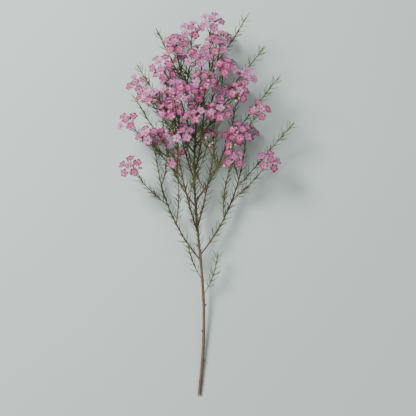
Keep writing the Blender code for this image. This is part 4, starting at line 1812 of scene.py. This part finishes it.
@dataclass(frozen=True)
class GreenFinish:
    """Flower stalks and bases: yellow-green, flushed red towards the rim on older flowers."""

    stalk: Colour = (0.110, 0.150, 0.028)
    base: Colour = (0.170, 0.220, 0.040)
    flush: Colour = (0.30, 0.045, 0.070)

    def material(self) -> bpy.types.Material:
        """Builds the material."""
        nodes = Nodes("flower_green")
        along, _, draw = nodes.place()
        green = nodes.ramp(along, [(0.0, self.stalk), (0.35, self.stalk), (0.6, self.base), (1.0, self.base)])
        flecks = nodes.noise(900, 3)
        red = along.step(0.45, 1.0) * (0.85 - draw * 0.5) * (0.5 + flecks)
        colour = nodes.mixed(red.clamped(), green, self.flush)
        return nodes.finish(colour, 0.42 + flecks * 0.2, nodes.bump(nodes.noise(2200, 2), 0.1 * MM, 0.5))


@dataclass(frozen=True)
class StamenFinish:
    """Pink-white filaments with cream anthers."""

    filament: Colour = (0.84, 0.50, 0.52)
    anther: Colour = (0.90, 0.80, 0.58)

    def material(self) -> bpy.types.Material:
        """Builds the material."""
        nodes = Nodes("stamen")
        along, _, _ = nodes.place()
        grain = nodes.noise(2400, 2)
        colour = nodes.mixed(along.step(0.5, 0.9), self.filament, self.anther)
        return nodes.finish(colour, 0.45 + grain * 0.2, nodes.bump(grain, 0.08 * MM, 0.4))


@dataclass(frozen=True)
class BudFinish:
    """Closed buds: pale pink heads, a little green below and deeper pink at the top."""

    low: Colour = (0.56, 0.50, 0.26)
    side: Colour = (0.78, 0.40, 0.56)
    top: Colour = (0.56, 0.12, 0.34)

    def material(self) -> bpy.types.Material:
        """Builds the material."""
        nodes = Nodes("bud")
        along, around, draw = nodes.place()
        colour = nodes.ramp(along, [(0.0, self.low), (0.3, self.side), (0.7, self.side), (1.0, self.top)])
        seams = nodes.noise(1.0, 2, nodes.vector(along * 2, around * 3, draw * 30))
        colour = nodes.mixed((seams - 0.3) * 0.6, colour, self.top)
        return nodes.finish(colour, 0.36 + seams * 0.15, nodes.bump(seams, 0.15 * MM, 0.5))


@dataclass(frozen=True)
class NeedleFinish:
    """Needle leaves: olive green, brown-red at the foot, yellow-green where they are young."""

    old: Colour = (0.024, 0.050, 0.009)
    light: Colour = (0.062, 0.100, 0.014)
    young: Colour = (0.185, 0.235, 0.026)
    foot: Colour = (0.11, 0.065, 0.030)

    def material(self) -> bpy.types.Material:
        """Builds the material."""
        nodes = Nodes("needle_leaf")
        along, youth, draw = nodes.place()
        patches = nodes.noise(420, 2)
        green = nodes.mixed((draw * 0.6 + patches * 0.5).clamped(), self.old, self.light)
        fresh = (youth * (0.7 + along * 0.5) + along.step(0.7, 1.0) * 0.25).clamped()
        green = nodes.mixed(fresh, green, self.young)
        colour = nodes.mixed(1 - along.step(0.0, 0.16), green, self.foot)
        pits = nodes.noise(2000, 2)
        return nodes.finish(colour, 0.4 + pits * 0.22, nodes.bump(pits, 0.1 * MM, 0.5))


@dataclass(frozen=True)
class TwigFinish:
    """Thin twigs: brown bark on the old part, red-brown and then green towards the tip."""

    brown: Colour = (0.085, 0.040, 0.022)
    red: Colour = (0.140, 0.052, 0.030)
    green: Colour = (0.095, 0.105, 0.022)

    def material(self) -> bpy.types.Material:
        """Builds the material."""
        nodes = Nodes("twig")
        age, around, draw = nodes.place()
        streaks = nodes.noise(1.0, 3, nodes.vector(age * 26, around * 2.2, draw * 50))
        worn = (age + (streaks - 0.5) * 0.35).clamped()
        colour = nodes.ramp(worn, [(0.0, self.brown), (0.35, self.red), (0.6, self.red), (0.95, self.green)])
        return nodes.finish(colour, 0.5 + streaks * 0.3, nodes.bump(streaks, 0.2 * MM, 0.7))


@dataclass(frozen=True)
class BarkFinish:
    """The main stem's bark: grey-brown fibres over red-brown, greener near the top."""

    dark: Colour = (0.045, 0.024, 0.015)
    brown: Colour = (0.120, 0.062, 0.036)
    grey: Colour = (0.240, 0.170, 0.120)
    young: Colour = (0.130, 0.070, 0.032)
    young_from: float = 0.30
    young_to: float = 0.47

    def material(self) -> bpy.types.Material:
        """Builds the material."""
        nodes = Nodes("stem_bark")
        along, around, _ = nodes.place()
        fibres = nodes.noise(1.0, 5, nodes.vector(along * 70, around * 4.5, 2.0))
        strips = nodes.noise(1.0, 3, nodes.vector(along * 24, around * 1.9, 7.0))
        colour = nodes.ramp(fibres, [(0.28, self.dark), (0.5, self.brown), (0.72, self.grey)])
        colour = nodes.mixed(strips.step(0.45, 0.7) * 0.6, colour, self.grey)
        colour = nodes.mixed(along.step(self.young_from, self.young_to) * 0.8, colour, self.young)
        return nodes.finish(colour, 0.62 + strips * 0.3, nodes.bump(fibres + strips * 0.6, 0.5 * MM, 0.9))


@dataclass(frozen=True)
class CutWoodFinish:
    """Cut wood: cream with faint rings, a green-brown line under the bark and a dark pith."""

    wood: Colour = (0.66, 0.50, 0.27)
    ring: Colour = (0.42, 0.28, 0.13)
    rind: Colour = (0.12, 0.09, 0.03)

    def material(self) -> bpy.types.Material:
        """Builds the material."""
        nodes = Nodes("cut_wood")
        share, _, _ = nodes.place()
        wobble = nodes.noise(900, 2)
        rings = (share * 34 + wobble * 4).maths("SINE") * 0.5 + 0.5
        colour = nodes.mixed(rings * 0.5, self.wood, self.ring)
        colour = nodes.mixed(share.step(0.86, 0.97), colour, self.rind)
        colour = nodes.mixed(1 - share.step(0.06, 0.16), colour, self.rind)
        return nodes.finish(colour, 0.7 + wobble * 0.2, nodes.bump(rings + wobble, 0.1 * MM, 0.6))


@dataclass(frozen=True)
class Lamp:
    """A square soft light that shines at the stem, in metres and watts."""

    name: str
    spot: tuple[float, float, float]
    size: float
    power: float


@dataclass(frozen=True)
class Studio:
    """The pale floor, the soft lights and the camera that looks down on the stem."""

    floor_colour: Colour = (0.56, 0.65, 0.61)
    floor_shade: float = 0.94
    floor_roughness: float = 0.9
    floor_size: float = 6.0
    sky: Colour = (0.92, 0.96, 1.0)
    sky_strength: float = 0.2
    lens: float = 114
    frame_margin: float = 1.07
    lamps: tuple[Lamp, ...] = (
        Lamp("key_light", (-1.0, 0.95, 1.5), 0.75, 62),
        Lamp("fill_light", (1.3, -0.5, 1.6), 1.6, 12),
        Lamp("low_light", (-1.1, -1.2, 0.9), 1.2, 9),
    )

    def build(self) -> None:
        """Adds all of it."""
        self.floor()
        self.world()
        low, high = (Vector(corner) for corner in CAD_BOX)
        for lamp in self.lamps:
            self.light(lamp, (low + high) / 2)
        self.camera(low, high)

    def floor(self) -> None:
        """Adds the floor, which isn't part of the plant."""
        half = self.floor_size / 2
        mesh = bpy.data.meshes.new("floor")
        corners = [(-half, -half, 0), (half, -half, 0), (half, half, 0), (-half, half, 0)]
        mesh.from_pydata(corners, [], [(0, 1, 2, 3)])
        made = bpy.data.objects.new("floor", mesh)
        nodes = Nodes("floor_paper")
        mottle = nodes.noise(3, 2)
        darker = tuple(part * self.floor_shade for part in self.floor_colour)
        colour = nodes.mixed(mottle, self.floor_colour, darker)
        mesh.materials.append(nodes.finish(colour, self.floor_roughness))
        bpy.context.scene.collection.objects.link(made)

    def world(self) -> None:
        """Sets a faint even light all round."""
        world = bpy.data.worlds.new("studio")
        world.use_nodes = True
        background = world.node_tree.nodes["Background"]
        background.inputs["Color"].default_value = (*self.sky, 1)
        background.inputs["Strength"].default_value = self.sky_strength
        bpy.context.scene.world = world

    def light(self, lamp: Lamp, aim: Vector) -> None:
        """Adds a light.

        Args:
            lamp: its place, size and power.
            aim: the point that it shines at.
        """
        data = bpy.data.lights.new(lamp.name, "AREA")
        data.size = lamp.size
        data.energy = lamp.power
        made = bpy.data.objects.new(lamp.name, data)
        made.location = lamp.spot
        made.rotation_euler = (Vector(lamp.spot) - aim).to_track_quat("Z", "Y").to_euler()
        bpy.context.scene.collection.objects.link(made)

    def camera(self, low: Vector, high: Vector) -> None:
        """Adds the camera, straight above the stem with its flowers at the top of the picture.

        Args:
            low: the low corner of the solids' box.
            high: its high corner.
        """
        data = bpy.data.cameras.new("camera")
        data.lens = self.lens
        made = bpy.data.objects.new("camera", data)
        middle = (low + high) / 2
        tall = (high.y - low.y) * self.frame_margin
        distance = tall * self.lens / data.sensor_width
        made.location = (middle.x, middle.y, distance + middle.z)
        bpy.context.scene.collection.objects.link(made)
        bpy.context.scene.camera = made


@dataclass
class WaxflowerStem:
    """The whole stem: it grows, finds the shift to its solids' frame and makes each piece."""

    palette: Palette
    habit: Habit = field(default_factory=Habit)
    foliage: Foliage = field(default_factory=Foliage)
    room: Room = field(default_factory=Room)
    twigs: list[Twig] = field(default_factory=list)
    domes: dict[str, tuple[Twig, list[Floret]]] = field(default_factory=dict)
    needles: dict[int, list[Needle]] = field(default_factory=dict)
    floor_lift: float = 0.05 * MM

    def grow(self) -> None:
        """Grows the twigs, then the florets, then the needles, each where there is room."""
        self.twigs = self.habit.grown()
        self.room.add(0, STEM.rods())
        forks = [[other.place for other in self.twigs if other.parent is twig] for twig in self.twigs]
        for number, twig in enumerate(self.twigs[1:], 1):
            self.room.add(number, self.foliage.solid_rods(twig, forks[number]))
        self.domes = self.habit.domes(self.twigs, self.room)
        for number, twig in enumerate(self.twigs[1:], 1):
            self.needles[number] = self.foliage.coarse(twig, number, forks[number], self.room)
        for number, twig in enumerate(self.twigs[1:], 1):
            self.needles[number] += self.foliage.fine(twig, number, self.room)
        self.needles[0] = self.foliage.on_stem(self.room)

    def shift(self) -> Vector:
        """Finds how far the solids moved when they were centred on the floor.

        Returns:
            The middle of the domes' moves: across and along by low corners, and up by their tops.
        """
        moves = []
        for name, (_, florets) in self.domes.items():
            corners = [corner for floret in florets for corner in floret.rim()]
            low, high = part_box(name)
            lowest = [min(corner[axis] for corner in corners) for axis in range(3)]
            highest = [max(corner[axis] for corner in corners) for axis in range(3)]
            moves.append([*(low - Vector(lowest)), *(high - Vector(highest))])
        middle = np.median(np.array(moves), axis=0)
        log.info("low and high corners moved by %s", np.round(middle / MM, 3))
        return Vector((middle[0], middle[1], middle[5]))

    def build(self) -> None:
        """Makes every piece in the solids' frame."""
        shift = self.shift()
        owners = ["main_stem", *sorted({twig.owner for twig in self.twigs} - {"main_stem"})]
        made = [self.stem_wood()]
        made += [self.growth(owner) for owner in owners]
        made += [self.flowers(owner) for owner in owners]
        for piece in made:
            self.settle(piece, shift)
            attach(piece, "root")
            log.info("%s: %d faces", piece.name, len(piece.data.polygons))

    def settle(self, piece: bpy.types.Object, shift: Vector) -> None:
        """Moves a piece's points to the solids' frame, and flattens what would dip below the floor.

        Args:
            piece: the piece.
            shift: how far the solids moved.
        """
        points = np.zeros(len(piece.data.vertices) * 3, np.float32)
        piece.data.vertices.foreach_get("co", points)
        points = points.reshape(-1, 3) + np.array(shift, np.float32)
        points[:, 2] = np.maximum(points[:, 2], self.floor_lift)
        piece.data.vertices.foreach_set("co", points.ravel())
        piece.data.update()

    def stem_wood(self) -> bpy.types.Object:
        """The main stem's wood."""
        stock = MeshStock()
        MainStem().build(stock, self.twigs)
        piece = stock.piece("stem_wood", self.palette)
        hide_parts("main_stem")
        return piece

    def growth(self, owner: str) -> bpy.types.Object:
        """The wood and needles of one branch, or the low shoots and upper needles of the main stem.

        Args:
            owner: the name of the solid that they grow on.

        Returns:
            The piece.
        """
        stock = MeshStock()
        for number, twig in enumerate(self.twigs):
            if twig.owner == owner:
                LeafyTwig(twig, self.needles[number], number).build(stock)
        title = "stem_shoots" if owner == "main_stem" else owner.replace("leafy_branch", "branch_growth")
        piece = stock.piece(title, self.palette)
        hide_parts(owner)
        return piece

    def flowers(self, owner: str) -> bpy.types.Object:
        """The flower domes of one branch, or of the main stem's own top.

        Args:
            owner: the name of the solid that carries them.

        Returns:
            The piece.
        """
        stock, names = MeshStock(), []
        for name, (twig, florets) in self.domes.items():
            if twig.owner == owner:
                number = next(at for at, other in enumerate(self.twigs) if other is twig)
                FlowerDome(twig, florets, number).build(stock, self.room)
                names.append(name)
        title = "top_flowers" if owner == "main_stem" else owner.replace("leafy_branch", "branch_flowers")
        piece = stock.piece(title, self.palette)
        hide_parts(*names)
        return piece


def main() -> None:
    """Grows the stem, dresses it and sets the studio."""
    logging.basicConfig(level=logging.INFO, format="%(message)s")
    finishes = {
        Tissue.BARK: BarkFinish(),
        Tissue.CUT_WOOD: CutWoodFinish(),
        Tissue.TWIG: TwigFinish(),
        Tissue.NEEDLE: NeedleFinish(),
        Tissue.PETAL: PetalFinish(),
        Tissue.CUP: CupFinish(),
        Tissue.GREEN: GreenFinish(),
        Tissue.STAMEN: StamenFinish(),
        Tissue.BUD: BudFinish(),
    }
    stem = WaxflowerStem({tissue: finish.material() for tissue, finish in finishes.items()})
    stem.grow()
    stem.build()
    Studio().build()


if __name__ == "__main__":
    main()
